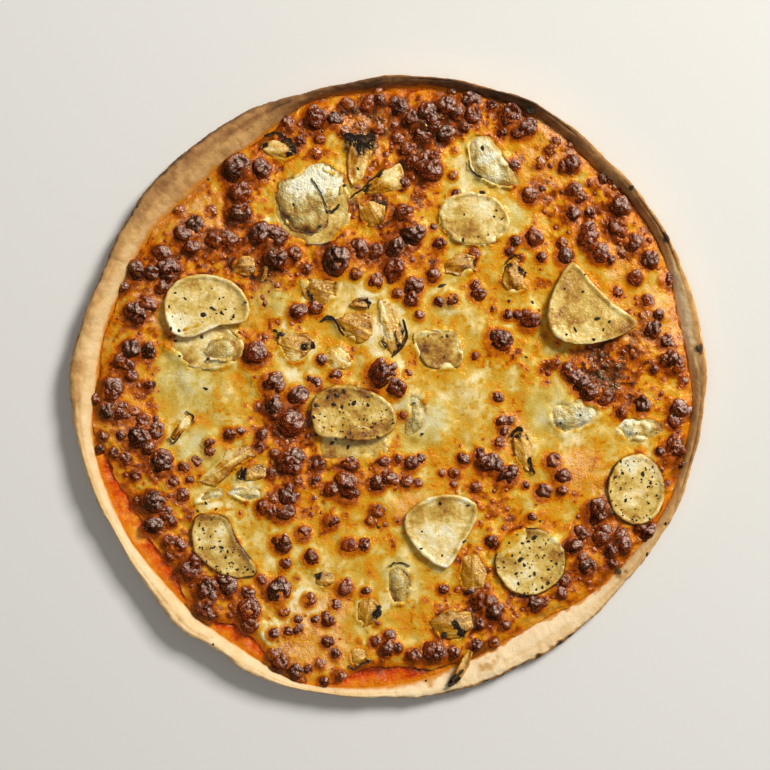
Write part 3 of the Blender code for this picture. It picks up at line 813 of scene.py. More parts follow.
def make_crust():
    piece, degrees, across = wrapped_grid("crust_baked", BAKED_TURNS, ROWS_ACROSS)
    row = across * (len(RINGS) - 1)
    radius, height = rim_shape(degrees, row)
    height = np.maximum(height, 0.0)
    points = np.stack([*polar(degrees, radius), height], axis=1)
    upper = smooth(row / 1.5) * smooth(7.0 - row)
    outer = smooth((row - 4.2) / 1.2) * smooth((7.6 - row) / 0.8)
    unrolled = np.stack([degrees * MM_PER_DEGREE, row * MM_PER_ROW, 0 * row], axis=1)
    swell = layered(points, (7.0, 1, 1.0), (2.4, 2, 0.5))
    creases = ridges(unrolled * (0.5, 1, 1), CREASE_WIDTH, 3) ** 4
    groove = np.exp(-((row - GROOVE_ROW) / GROOVE_WIDTH) ** 2)
    groove *= smooth((cloud(unrolled * (0.06, 0, 1), 1.0, 8) - 0.35) / 0.3)
    rough = layered(points, (CRUMB_SIZE, 4, CRUMB_DEPTH))
    push = upper * (swell - CREASE_DEPTH * creases - GROOVE_DEPTH * groove + rough * 0.5)
    push += outer * (rough - 0.25 * ridges(points, 1.7, 5) ** 3)
    rise = np.clip((height - 4.5) / 6.0, 0, 1)
    points[:, 2] += push * (0.4 + 0.6 * rise) * (row < 6.5)
    points[:, :2] += np.stack(polar(degrees, 1), axis=1) * np.minimum(push * outer, 0.15)[:, None]
    points[:, 2] = np.maximum(points[:, 2], 0.0)
    move_under(piece, points)
    # the slope and side values carry painted shade and painted light as well as browning
    slope, crest, side = (around(values, degrees) for values in (SLOPE_TOAST_AND_SHADING, CREST_TOAST, SIDE_TOAST_AND_SHADING))
    toast = slope + (crest - slope) * smooth((row - 1.8) / 2.0)
    from_side = row - SIDE_ROW + layered(points, (1.5, 12, 0.8))
    toast += (side - toast) * smooth(from_side / 0.7)
    # the creases and the groove are darkened: painted shade in the recesses
    toast += 0.10 * smooth(creases - 0.3) * upper + 0.10 * groove
    toast += layered(points, (3.0, 6, 0.26)) * (0.5 + outer) + layered(points, (11.0, 9, 0.14))
    burns = [(*polar(turned, out), reach) for turned, out, reach in RIM_BURNS]
    toast += BURN_DEPTH * marks(points, burns, rag=0.9)
    paint(piece, "toast", np.where(row > UNDERSIDE_ROW, UNDERSIDE_TOAST, toast))
    above = height - SAUCE_TOP + layered(points, (5.0, 7, 1.8), (2.0, 10, 1.2))
    reach = around(OIL_REACH, degrees)
    paint(piece, "oil", smooth((reach - above) / (0.9 * reach)) * (row < CREST_ROW))
    close_ring(piece)
    shade_smooth(piece, degrees=50)
    return piece


crust = make_crust()
settle(crust, DOUGH, "dough", "crust")

# %% [markdown]
# # The tomato sauce
#
# The cheese hides most of the sauce, but it pulled back from the rim in a few places, and there
# a wet red band shows. It is a thin layer with a rounded edge that runs into the foot of the
# rim. The same trick as for the rim is used again, a grid laid in a ring, since only the outer
# part is ever seen: the hole in its middle is closed under the cheese.

# %% Sauce
SAUCE_TURNS = 720
SAUCE_ROWS = 26
SAUCE_INNER = 96.0
SAUCE_INTO_RIM = 1.3
SAUCE_SIDE = 0.86
SAUCE_TUCK = 3.0
SAME_HEIGHT = 0.05


def edge_radii(node, height=None):
    """The widest radius of a solid in each of its directions, at this height if one is given."""
    points = points_of_node(node)
    if height is not None:
        points = points[np.abs(points[:, 2] - height) < SAME_HEIGHT]
    radius, turn = np.hypot(points[:, 0], points[:, 1]), turn_of(points)
    return np.array([radius[turn == index].max() for index in range(RIM_TURNS)])


SAUCE_EDGE = edge_radii("tomato_sauce")
CHEESE_EDGE = edge_radii("cheese", CHEESE_LOW)


def make_sauce_material():
    material, tree, shader = new_material("tomato sauce", 0.17, shine=0.5, coat=0.04, soft=0.1, gleam=OILY)
    colour = ramp(tree, mottled(tree, "cooked", coarse=0.5, fine=0.6), (
        (0.0, (244, 162, 40)), (0.2, (232, 110, 12)), (0.4, (220, 76, 2)), (0.58, (186, 52, 0)),
        (0.78, (132, 38, 8)), (1.0, (74, 24, 8)),
    ))
    # painted highlights: pale crackle lines on the side of each lump that faces the window
    glints = maths(tree, "MULTIPLY", use(tree, CRACKLE, Size=3.0, Width=0.14), painted(tree, "lit"))
    colour = tint(tree, colour, glints, 0.6, (250, 186, 150))
    colour = tint(tree, colour, painted(tree, "oil"), 0.85, (222, 134, 6))
    dress(tree, shader, colour, use(tree, SKIN, Lumps=0.8, Wrinkles=0.1, Pits=0.4), depth_mm=0.8)
    return material


def make_sauce():
    piece, degrees, across = wrapped_grid("sauce_layer", SAUCE_TURNS, SAUCE_ROWS)
    edge = around(SAUCE_EDGE, degrees) + SAUCE_INTO_RIM
    top = np.clip(across / SAUCE_SIDE, 0, 1)
    side = np.clip((across - SAUCE_SIDE) / (1 - SAUCE_SIDE), 0, 1)
    radius = SAUCE_INNER + (edge - SAUCE_INNER) * top - SAUCE_TUCK * np.maximum(side * 2 - 1, 0)
    points = flat(*polar(degrees, radius)) + (0, 0, SAUCE_TOP)
    lumps = layered(points, (4.0, 11, 1.6), (2.0, 12, 0.9))
    points[:, 2] += (lumps - 0.1) * smooth((radius - 118) / 6) * (side == 0)
    points[:, 2] -= (SAUCE_TOP - SAUCE_LOW) * smooth(side)
    move_points(piece, points)
    from_cheese = radius - around(CHEESE_EDGE, degrees)
    cooked = 0.36 + layered(points, (8.0, 13, 0.6), (3.2, 15, 0.5))
    cooked -= 0.20 * smooth((-points[:, 0] - 60) / 40)
    cooked += 0.36 * smooth((3.4 + 3 * cloud(points, 4.0, 16) - from_cheese) / 3.0)
    paint(piece, "cooked", cooked)
    paint(piece, "oil", smooth((3.4 - (edge - radius) + layered(points, (4.0, 14, 4))) / 2.0))
    close_ring(piece)
    shade_smooth(piece)
    paint(piece, "lit", lit_side(piece, least=0.84))
    return piece


SAUCE = make_sauce_material()
sauce = make_sauce()
settle(sauce, SAUCE, "tomato", "tomato_sauce")

# %% [markdown]
# # Where the oven browned the cheese
#
# No noise can invent this: the cheese stays cream where it lay thick or wet in the middle, turns
# golden where it thinned, and goes rust-brown towards the rim. So the browning was read at many
# places: x and y in millimetres from the middle, then how brown, from 0 for raw to 1 for
# burnt. Every point of the cheese takes a weighted mean of the places near it, and noise breaks
# up the smooth result.

# %% Browning map
BROWNED = (
    (-60, 133, 66), (-30, 145, 62), (0, 147, 58), (30, 148, 64), (60, 140, 66), (20, 130, 82),
    (-10, 136, 66), (-35, 120, 50), (-45, 128, 58), (5, 128, 66), (-95, 90, 50), (-110, 85, 48),
    (-85, 100, 50), (-75, 75, 74), (-70, 95, 72), (-60, 92, 35), (-130, 30, 68), (-125, 60, 65),
    (-115, 42, 50), (-125, 0, 62), (-140, -20, 52), (-105, 5, 20), (-95, -5, 25), (-85, -5, 48),
    (-80, 10, 30), (-100, -25, 30), (-85, -20, 35), (-75, -30, 40), (-90, -40, 35), (-80, -52, 10),
    (-60, -20, 72), (-50, -30, 75), (-60, 15, 62), (-60, 45, 45), (-40, 45, 44), (-50, 60, 68),
    (-15, 85, 60), (0, 70, 70), (10, 95, 58), (20, 108, 72), (30, 60, 45), (20, 50, 40), (-10, 45, 15),
    (-50, 10, 22), (-20, 5, 45), (0, -15, 20), (-5, -22, 25), (15, -15, 28), (20, -35, 35), (30, 40, 33),
    (40, 30, 25), (40, 10, 25), (45, -5, 25), (30, 0, 33), (30, -15, 25), (60, 5, 25), (70, -5, 32),
    (80, -12, 28), (95, -12, 24), (60, 20, 42), (75, 20, 46), (80, 6, 52), (88, 4, 50), (60, -25, 48),
    (70, -25, 35), (80, -30, 30), (90, -35, 20), (100, -45, 30), (85, -45, 48), (40, -40, 55),
    (50, -45, 64), (0, -42, 62), (-20, -45, 62), (-40, -40, 68), (-5, -60, 45), (15, -52, 30),
    (-30, -55, 50), (-50, -60, 50), (-60, -75, 35), (-65, -80, 25), (-70, -60, 48), (-35, -65, 55),
    (-45, -75, 40), (-30, -90, 25), (-10, -70, 45), (-15, -85, 35), (5, -80, 38), (5, -95, 20),
    (20, -95, 35), (-15, -100, 40), (-40, -110, 38), (-30, -120, 34), (-20, -130, 42), (-40, -130, 36),
    (-55, -115, 38), (-48, -122, 34), (5, -110, 35), (15, -110, 40), (-10, -135, 58), (30, -120, 60),
    (45, -115, 70), (40, -135, 60), (50, -105, 64), (60, -110, 60), (45, -90, 60), (50, -75, 50),
    (55, -60, 58), (75, -60, 45), (90, -60, 35), (95, -70, 55), (90, -80, 40), (100, -80, 65),
    (95, -95, 60), (110, -75, 65), (120, -75, 65), (130, -75, 60), (105, -60, 74), (105, -30, 35),
    (110, -20, 35), (125, -20, 15), (115, -5, 55), (120, -10, 50), (120, 10, 70), (110, 5, 78),
    (130, 0, 45), (130, 20, 54), (125, 45, 38), (135, 45, 42), (120, 60, 42), (135, 30, 46), (145, 10, 60),
    (140, -15, 60), (148, -30, 65), (110, 75, 70), (115, 85, 65), (130, 65, 60), (100, 90, 60),
    (95, 105, 52), (80, 115, 40), (70, 120, 46), (90, 125, 64), (105, 105, 60), (120, 90, 70),
    (75, 100, 50), (80, 85, 60), (85, 70, 45), (70, 70, 40), (60, 60, 50), (75, 50, 42), (85, 50, 38),
    (70, 40, 38), (60, 95, 30), (40, 105, 20), (45, 60, 28), (30, 95, 30), (35, 75, 38), (110, 50, 36),
    (-110, 20, 62), (-145, 5, 66), (-115, -45, 60), (-125, -60, 62), (-105, -75, 60), (-90, -95, 60),
    (-75, -108, 60), (-20, 45, 20), (-70, 60, 66), (-95, 62, 66), (-105, -95, 58), (-130, -40, 62),
    (0, 20, 22), (-141, 18, 46), (-139, 28, 46), (-143, 10, 50), (-144, -4, 56), (-131, 32, 56),
)
BROWNED_REACH = 7.5
WET_MOULD = (
    (-101, 4, 15), (15, -22, 9), (80, -10, 12), (5, -94, 8), (-60, 45, 8), (10, -8, 5), (-88, -36, 7),
    (25, -14, 7), (-95, -30, 8), (47, 108, 9), (62, 86, 6), (-20, 98, 6), (28, 40, 6),
)
# Patches where a sheen is painted: an orange tint with pale glints, over finer crinkles.
PINK_SHEEN = (
    (82, 116, 15), (132, 32, 16), (-40, -128, 20), (-95, 90, 12), (-138, -20, 10), (-115, 42, 10),
    (-10, 128, 12), (97, -38, 10), (118, 60, 9), (-28, -110, 10), (-110, 84, 9), (60, -22, 8),
    (108, -50, 8), (10, -60, 8),
)


def browning(x, y):
    """How brown the cheese is at these places, 0 to 1."""
    weight, total = np.full(len(x), 1e-6), np.full(len(x), 0.5e-6)
    for bx, by, percent in BROWNED:
        near = np.exp(-((x - bx) ** 2 + (y - by) ** 2) / (2 * BROWNED_REACH ** 2))
        weight += near
        total += near * percent / 100
    return total / weight


def patches(x, y, spots):
    """A mask of round patches with ragged edges."""
    rag = 0.6 + 0.8 * cloud(flat(x, y), 6.0, 21)
    masks = [smooth(1.5 - np.hypot(x - px, y - py) / (reach * rag)) for px, py, reach in spots]
    return np.max(masks, axis=0)


print(len(BROWNED), "places read; middle", browning(np.array([40.0]), np.array([10.0])).round(2))

# %% [markdown]
# # Blisters: where they are
#
# Steam under the melted cheese blew hundreds of bubbles, and their thin tops burnt first. The
# large ones are listed one by one, x, y and radius in millimetres, in four kinds: crackled and dark,
# smooth and dark, pink with a wet shine, and charred black. The small ones follow a rule
# instead: they crowd where the cheese browned most.

# %% Blister places
CRACKLED = (
    (-36, 134, 6.5), (5, 140, 5.5), (12, 134, 5), (20, 136, 6.5), (29, 140, 6), (41, 143, 5.5),
    (42, 136, 5), (17, 126, 5), (28, 127, 5), (20, 110, 8), (12, 77, 7), (8, 87, 5), (4, 70, 5),
    (-15, 69, 5.5), (-26, 64, 8), (3, 59, 6), (13, 50, 5.5), (-57, 75, 6.5), (-56, 64, 6.5),
    (-75, 109, 7.5), (-64, 109, 5.5), (-74, 98, 6.5), (-74, 87, 6.5), (-64, 77, 5.5), (-97, 81, 5.5),
    (-102, 76, 5), (-87, 74, 5.5), (-80, 74, 5), (-98, 70, 4.5), (-113, 67, 5), (-110, 58, 7),
    (-125, 58, 5.5), (-118, 57, 4.5), (-126, 37, 6), (-128, 19, 5.5), (-120, 18, 4.5), (-134, 13, 4.5),
    (-137, 0, 5.5), (-133, -12, 6), (-140, -12, 4.5), (-125, -25, 6.5), (-116, -22, 5.5), (-113, -38, 6.5),
    (-117, -57, 6.5), (-117, -69, 5), (-111, -63, 4.5), (-99, -91, 6), (-90, -101, 6.5), (-91, -111, 5.5),
    (-80, -100, 5), (-69, -111, 6.5), (-69, -119, 4.5), (-55, -101, 6.5), (-54, -138, 5.5),
    (-46, -142, 4.5), (-52, -62, 5.5), (-53, -78, 5), (-50, -54, 6.5), (-49, -38, 6.5), (-49, -17, 7.5),
    (-45, -4, 5.5), (-57, 2, 6), (-57, -9, 5), (-66, 17, 6.5), (-20, -50, 7), (-19, -38, 4.8),
    (-5, -48, 4.5), (-2, 7, 7.5), (4, 0, 5.5), (12, -38, 4.5), (0, -130, 4.5), (22, -132, 5),
    (46, -107, 4.8), (56, 24, 6.5), (71, 34, 5.5), (61, 136, 6), (70, 130, 5), (92, 112, 4.8),
    (92, 87, 4.8), (71, 96, 4.6), (73, 75, 5), (89, 66, 5), (116, 90, 5.5), (114, 80, 5), (100, 75, 5),
    (106, 67, 5), (123, 72, 5.5), (131, 64, 4.6), (128, 42, 5.5), (132, 29, 4.6), (142, 13, 5.5),
    (101, -2, 5), (127, -9, 4.8), (145, -11, 5), (143, -31, 6), (53, -38, 5), (60, -44, 5.5),
    (87, -44, 4.8), (105, -62, 6.5), (93, -79, 4.8), (97, -73, 4.6), (107, -75, 4.6), (117, -78, 5.2),
    (99, -89, 5.2), (53, -112, 5.2), (73, -108, 4.5), (130, -72, 4.8), (-27, 134, 4.5), (-50, 132, 4),
    (-20, 141, 4), (-4, 143, 3.5), (32, 148, 2.5), (10, 119, 4), (12, 112, 4.5), (23, 115, 3), (8, 102, 3),
    (-44, 123, 3), (-16, 57, 3.5), (23, 56, 4), (26, 72, 3.5), (23, 80, 2), (34, 97, 2.5), (38, 130, 3),
    (44, 51, 3), (-47, 67, 4), (-41, 59, 3), (-6, 53, 4), (52, 141, 3), (65, 127, 3.5), (57, 127, 3),
    (84, 123, 2.5), (81, 118, 3), (88, 110, 3), (93, 99, 4), (96, 95, 3.5), (101, 87, 3), (100, 79, 4),
    (111, 64, 3), (117, 67, 2.5), (129, 62, 2.5), (140, 54, 3.5), (64, 73, 3), (87, 72, 3), (77, 65, 3),
    (67, 65, 2), (61, 68, 2.5), (108, 104, 3.5), (113, 101, 4), (117, 99, 3), (101, 102, 2), (122, 95, 2),
    (77, 99, 2), (-132, 50, 3), (-113, 50, 4), (-131, 11, 4), (-128, 6, 3.5), (-119, 1, 3), (-138, -4, 4),
    (-123, -17, 4), (-120, -30, 5), (-133, -24, 3), (-144, -31, 3), (-146, -6, 3), (-137, -33, 3),
    (-131, -36, 3.5), (-126, -44, 3), (-125, -57, 3), (-103, -54, 4), (-116, -16, 2), (-79, -23, 3.5),
    (-74, -22, 2.5), (-89, -28, 3), (-89, -32, 3), (-96, -37, 3), (-102, -40, 3), (-107, -47, 3),
    (-99, -46, 2.5), (-63, -24, 3), (-64, -29, 3), (-36, 2, 3.5), (-45, 38, 4.5), (-36, 40, 4),
    (-33, 14, 3), (-26, 6, 3), (-46, -35, 5), (16, -36, 3), (0, -45, 4), (-28, -51, 4), (-36, -47, 3),
    (-45, -47, 2.5), (-35, -38, 4), (-57, -13, 3), (-57, -33, 2), (-58, -43, 3), (-57, -56, 3),
    (38, -36, 3.5), (46, -33, 3), (49, -38, 4.5), (33, -43, 3), (27, -43, 2), (33, -49, 2), (44, -50, 3),
    (10, 7, 2), (5, 47, 3), (16, 50, 4), (12, 44, 4), (32, 44, 3.5), (26, 43, 3), (16, 36, 2.5),
    (45, 47, 4), (44, 16, 2.5), (60, 36, 3), (65, 36, 3), (53, 39, 2), (135, 36, 3), (139, 23, 4),
    (115, 47, 3), (138, 14, 3), (145, 10, 3.5), (148, 3, 2.5), (84, 12, 2.5), (90, 9, 3.5), (93, 6, 4.5),
    (97, 2, 4.5), (101, -3, 5), (108, -5, 4.5), (117, -12, 3.5), (143, -17, 3.5), (150, -12, 2.5),
    (136, -32, 2.5), (147, -39, 2), (57, -17, 3), (61, -17, 2.5), (58, -22, 2.5), (56, -28, 3),
    (87, -51, 3), (69, -49, 2), (52, -77, 3.5), (72, -65, 2.5), (108, -72, 4), (116, -74, 4), (112, -81, 4),
    (97, -85, 3), (88, -97, 3.5), (112, -88, 3), (51, -107, 4), (77, -107, 3), (87, -103, 3),
    (59, -119, 2.5), (53, -128, 3), (126, -70, 3), (-118, -60, 7), (-108, -67, 3), (-109, -77, 3.5),
    (-109, -84, 3), (-88, -114, 3.5), (-82, -96, 4), (-104, -79, 3), (-77, -77, 3), (-70, -103, 4),
    (-63, -96, 3), (-62, -60, 4), (-58, -62, 3), (-28, -67, 4), (-5, -62, 4), (-38, -85, 4), (-51, -88, 3),
    (-12, -79, 3.5), (-11, -102, 2.5), (-26, -109, 3), (-30, -116, 4), (-36, -116, 2.5), (-45, -116, 2.5),
    (-30, -127, 3.5), (-50, -122, 3), (-45, -121, 3), (-57, -123, 3), (-26, -133, 3), (1, -124, 3.5),
    (-6, -127, 3), (13, -134, 4), (33, -133, 3.5), (-57, -134, 4), (-44, -146, 3), (-32, -147, 3),
    (-40, -141, 2.5), (44, -129, 3.5), (46, -118, 3), (41, -102, 2.5),
)
GLOSSY = (
    (-10, 141, 5), (-6, 68, 4.5), (43, 67, 3.5), (63, 111, 3.5), (55, -5, 3), (78, -52, 4.5), (-2, -37, 3),
    (5, -36, 2.5), (-42, -73, 4), (-21, -100, 4.5), (28, -101, 3), (-19, -79, 4.5), (-34, 124, 3),
    (-120, 42, 5), (83, -37, 4.5), (5, -130, 3), (100, 72, 4), (117, 78, 3), (133, 9, 2.5), (143, -25, 2),
)
# The pink of these blisters is painted: a pinkish sheen and pale glints on the side facing the window, over
# a paler brown.
PINK = (
    (-5, 129, 4), (3, 131, 2.5), (5, 124, 3), (-36, 117, 3), (-5, 148, 2.5), (-97, -87, 5),
    (-39, -106, 3.5), (-24, -144, 3.5), (8, -14, 2.5), (129, 35, 3.5), (130, 43, 3.5), (124, 55, 4),
    (9, -47, 4), (3, -46, 3), (15, -48, 2.5), (-127, -12, 3), (90, 120, 3), (76, 112, 3), (-88, 88, 3),
    (-104, 88, 3), (-142, -24, 3), (-22, 128, 3), (-14, 130, 3), (33, 106, 2.5), (-8, -67, 3),
    (-52, -112, 3), (-34, -138, 3), (112, -47, 3),
)
CHARRED = ((-39, 4, 2), (25, -133, 4), (33, 137, 4), (22, 131, 4))
SMALL_COUNT = 520
SMALL_RADIUS = (0.7, 2.1)
SMALL_TRIES = 12000
SMALL_FIELD = 300
SAME_SPOT = 0.55


def apart(spots):
    """The spots in order, without any that lies nearly on one before it."""
    kept = []
    for x, y, radius in spots:
        if all(math.hypot(x - a, y - b) > SAME_SPOT * max(radius, c) for a, b, c in kept):
            kept.append((x, y, radius))
    return kept


def on_cheese(x, y, margin):
    return np.hypot(x, y) < around(CHEESE_EDGE, direction_of(x, y)) - margin


def near_topping(x, y):
    """Distance to the nearest topping, below zero on it."""
    return np.min([distance_to(OUTLINES[node], x, y) for node in LYING], axis=0)


def small_blisters():
    """Small bubbles at seeded places, kept where the cheese is brown and free."""
    chance = np.random.default_rng(5)
    x, y, radius, luck = (chance.random(SMALL_TRIES) for _ in range(4))
    x, y = (x - 0.5) * SMALL_FIELD, (y - 0.5) * SMALL_FIELD
    least, most = SMALL_RADIUS
    radius = least + (most - least) * radius ** 2.2
    brown = browning(x, y) + layered(flat(x, y), (9.0, 31, 0.3))
    keep = on_cheese(x, y, 2.5) & (luck < smooth((brown - 0.34) / 0.34)) & (near_topping(x, y) > 0.8)
    taken = LARGE[:]
    for x, y, radius in zip(x[keep], y[keep], radius[keep]):
        if all(math.hypot(x - a, y - b) > 0.9 * c + radius for a, b, c in taken):
            taken.append((x, y, radius))
    return taken[len(LARGE):][:SMALL_COUNT]


LARGE = apart((*CHARRED, *GLOSSY, *PINK, *CRACKLED))
SMALL = small_blisters()
print(len(LARGE), "large blisters,", len(SMALL), "small ones")

# %% [markdown]
# # The cheese
#
# Melted cheese is one sheet that sags between everything. A square grid is squeezed into the
# round, which keeps its cells even and gives it a clean border, and the border is drawn down to
# make the sheet's edge. Its height follows the solid: a gentle swell, a thin edge where it
# meets the sauce, flat beds under the toppings with a raised lip of cheese around each, and a
# rise under every blister. In places it ran over the edge of a topping, and a ray cast down on
# the solids tells how high it has to climb there.

# %% Where cheese covers a topping
RUN_OVER = {"onion": 2.4, "blue_cheese": 2.4, "potato": 0.0}
SUNKEN = {
    "potato_slice_01": 3.0, "potato_slice_03": 4.5, "potato_slice_06": 2.2, "potato_slice_07": 3.5,
    "potato_slice_09": 1.0, "potato_slice_10": 0.8, "potato_slice_11": 3.0, "potato_slice_12": 0.8,
    "blue_cheese_04": 4.0, "blue_cheese_05": 3.5, "blue_cheese_06": 2.5, "blue_cheese_08": 3.0,
}
COVERED = (
    (59, -78, 8), (62, -73, 7), (86, -74, 5.5), (-1, -38, 5), (-12, -37, 4), (0, -28, 3), (-22, -38, 3),
    (-58, 82, 4), (-55, 76, 3), (30, 7, 4), (14, 12, 3), (38, 26, 3), (-107, 15, 4), (-74, 10, 4),
    (-86, 8, 3), (26, 92, 4), (56, 74, 3), (-78, 63, 2.5), (-42, 52, 3), (-28, 44, 2.5), (-12, 92, 2),
    (-2, 80, 2), (40, 56, 3), (30, 66, 2), (48, -84, 2.5), (36, -101, 2.5), (24, -124, 2.5),
    (42, -110, 2.5), (-14, -118, 2.5), (-66, -31, 3), (-94, -45, 2.5), (-62, -54, 2), (-95, -58, 2.5),
    (6, -110, 2.5), (106, -18, 3), (80, -19, 3), (115, -24, 2), (16, -26, 3), (10, -3, 2), (-54, 14, 2),
    (-19, 10, 2.5), (-30, 10, 2), (-8, 24, 1.5), (-18, 24, 2), (-4, 42, 2), (62, 47, 3),
)
COVER_RISE = 0.22


def topping_tree():
    points, faces = [], []
    for node in LYING:
        mesh = frame["nodes"][node].data
        faces += [[index + len(points) for index in face.vertices] for face in mesh.polygons]
        points += [vertex.co / MM for vertex in mesh.vertices]
    return BVHTree.FromPolygons(points, faces)


TOPPING_TREE = topping_tree()


def topping_top(x, y):
    """The height of the highest topping at these places, or of the bed where there is none."""
    down = Vector((0, 0, -1))
    hits = (TOPPING_TREE.ray_cast(Vector((px, py, 30)), down)[0] for px, py in zip(x, y))
    return np.array([hit.z if hit else BED_TOP for hit in hits])


def covered(node, x, y, gap):
    """How much cheese lies over this topping at these places, 0 to 1."""
    kind = next(kind for kind in RUN_OVER if node.startswith(kind))
    reach = SUNKEN.get(node, RUN_OVER[kind])
    run = reach * smooth((cloud(flat(x, y), 5.0, 49) - 0.34) / 0.34)
    edge = smooth((gap + run) / 1.8) * smooth(run / 0.5)
    return np.maximum(edge, patches(x, y, COVERED) ** 0.7)


print(len(COVERED), "places where cheese ran over a topping")

# %% Shape of the cheese
CHEESE_CELLS = 286
EDGE_SPREAD = 1.3
EDGE_THICK = 0.3
EDGE_SLOPE = 6.5
LIP_RISE, LIP_WIDTH = 0.32, 1.5
SKIRT_REACH = 1.25
SKIRT_RISE = 0.22
# Patches painted darker. Most are scorched spots; the large ones just below the raised potato slice at the
# right are browning and painted shadow together.
DARKER_CHEESE = (
    (106, 6, 12), (116, -2, 9), (127, 17, 8), (94, 12, 5), (11, 16, 5), (80, 94, 5), (-57, 20, 4),
    (48, -134, 5), (-51, -132, 5), (62, 14, 5), (23, 64, 5), (16, 94, 5), (-96, 8, 3), (-4, 90, 5),
    (-46, 12, 3), (-12, 62, 5), (-64, 51, 5), (78, 52, 4), (-12, 18, 3), (20, -7, 4), (4, -27, 3),
    (-28, 82, 4), (-17, 92, 4), (6, 22, 3), (76, 102, 5), (106, -38, 4), (52, 14, 4), (-58, 110, 4),
    (-96, -42, 4), (-85, -64, 4), (-19, 140, 4), (79, 8, 4), (108, 2, 5), (66, 114, 3), (127, -32, 3),
)
SOFT_CHEESE = (
    (-50, -115, 8), (-34, -115, 8), (38, -54, 4), (-139, -29, 4), (141, 16, 7), (-76, 56, 3), (-34, -56, 4),
    (-10, 46, 4), (60, 34, 4), (-6, -128, 5), (46, 73, 3), (-129, 56, 3), (-70, 23, 3), (-68, -53, 4),
    (62, -98, 3), (-42, -105, 5), (-132, -32, 6), (-36, 44, 4), (-49, 33, 4), (-64, 82, 4), (-134, 40, 4),
    (-59, -106, 4), (72, 72, 4), (63, -40, 3), (-90, -86, 3), (-58, -124, 4),
)


def squeeze_round(x, y):
    """A square from -1 to 1 squeezed into a disc of radius 1."""
    return x * np.sqrt(1 - y * y / 2), y * np.sqrt(1 - x * x / 2)


def cheese_height(x, y):
    """The height of the melted sheet at these places, without its finest bumps."""
    swell = 0.28 * np.sin(x / 9 + 1.2) * np.sin(y / 11) + 0.14 * np.sin((x + y) / 5.3)
    height = CHEESE_LEVEL + swell + layered(flat(x, y), (9.0, 41, 1.5), (4.4, 42, 0.9))
    inward = around(CHEESE_EDGE, direction_of(x, y)) + EDGE_SPREAD - np.hypot(x, y)
    foot = CHEESE_LOW + EDGE_THICK
    height = foot + (height - foot) * smooth(0.12 + inward / EDGE_SLOPE)
    for bx, by, reach in LARGE:
        near = np.abs(x - bx) < 3 * reach
        distance = np.hypot(x[near] - bx, y[near] - by) / (reach * SKIRT_REACH)
        height[near] += SKIRT_RISE * reach * np.exp(-distance ** 2)
    over, top = np.zeros(len(x)), height.copy()
    for node in LYING:
        low, high = (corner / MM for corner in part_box(node))
        near = (x > low.x - 6) & (x < high.x + 6) & (y > low.y - 6) & (y < high.y + 6)
        gap = distance_to(OUTLINES[node], x[near], y[near])
        lip = LIP_RISE * np.exp(-((gap - 0.4) / LIP_WIDTH) ** 2)
        sunk = smooth((-gap - 0.2) / 1.6)
        height[near] = (height[near] + lip) * (1 - sunk) + BED_TOP * sunk
        cheesy = covered(node, x[near], y[near], gap) * smooth((1.2 - gap) / 1.2)
        over[near] = np.maximum(over[near], cheesy)
    high = np.flatnonzero(over > 0.02)
    top[high] = np.maximum(topping_top(x[high], y[high]) + COVER_RISE, height[high])
    return height + (top - height) * over


print("cheese height in the middle:", cheese_height(np.array([30.0]), np.array([0.0])).round(2), "mm")

# %% The melted sheet
SHEET_DEPTH = 0.6


def make_cheese():
    start_clean()
    bpy.ops.mesh.primitive_grid_add(x_subdivisions=CHEESE_CELLS, y_subdivisions=CHEESE_CELLS, size=2)
    piece = bpy.context.object
    piece.name = "cheese_melt"
    spots = points_of(piece) * MM
    x, y = squeeze_round(spots[:, 0], spots[:, 1])
    share, degrees = np.hypot(x, y), direction_of(x, y)
    ragged = layered(flat(*polar(degrees, 60)), (1.4, 43, 1.4), (3.6, 46, 3.0))
    x, y = polar(degrees, share * (around(CHEESE_EDGE, degrees) + EDGE_SPREAD + ragged * share ** 8))
    points = np.stack([x, y, cheese_height(x, y)], axis=1)
    brown = browning(x, y)
    curd = layered(points, (2.9, 44, 0.9), (1.6, 45, 0.6))
    free = smooth(near_topping(x, y) / 0.8)
    points[:, 2] += free * curd * (0.25 + 1.3 * smooth((brown - 0.3) / 0.4))
    move_under(piece, points)
    for name, values in cheese_paint(points, brown).items():
        paint(piece, name, values)
    paint(piece, "lit", lit_side(piece, least=0.85))
    close_sheet(piece)
    shade_smooth(piece, degrees=80)
    return piece


def close_sheet(piece):
    """Draws the border of a sheet down to the sauce and closes it underneath."""
    pick(piece)
    bpy.ops.object.mode_set(mode="EDIT")
    bpy.ops.mesh.select_all(action="DESELECT")
    bpy.ops.mesh.select_non_manifold(extend=False)
    bpy.ops.mesh.extrude_region_move(TRANSFORM_OT_translate={"value": (0, 0, -SHEET_DEPTH * MM)})
    bpy.ops.mesh.edge_face_add()
    bpy.ops.mesh.select_all(action="SELECT")
    bpy.ops.mesh.normals_make_consistent(inside=False)
    bpy.ops.object.mode_set(mode="OBJECT")


print("sheet of", CHEESE_CELLS ** 2, "cells")

# %% [markdown]
# The colour of the cheese comes from painted values. Toast is how brown it is: the map, broken up
# by noise into blotches and freckles, with a dark ring round every blister that is browning near it
# and painted shadow on its far side from the window. Wet is where blue cheese melted into it and
# left it greenish and pale. Sheen marks patches where a sheen is painted: they turn orange and get
# pale glints and fine crinkles. Oil is the red fat in the hollows and along the rim. Rough is where
# the browned skin wrinkled, and lit is the side of each bump that faces the window, where fine
# glints are painted.

# %% Colour of the cheese
DARKEN, SOFTEN = 0.36, 0.32
SMALL_HALO = 0.75
HALO_SHADOW_SHIFT = 0.22


def swelling(value, start, width):
    """0 up to start, then rising smoothly to 1 over this width."""
    return smooth((value - start) / width)


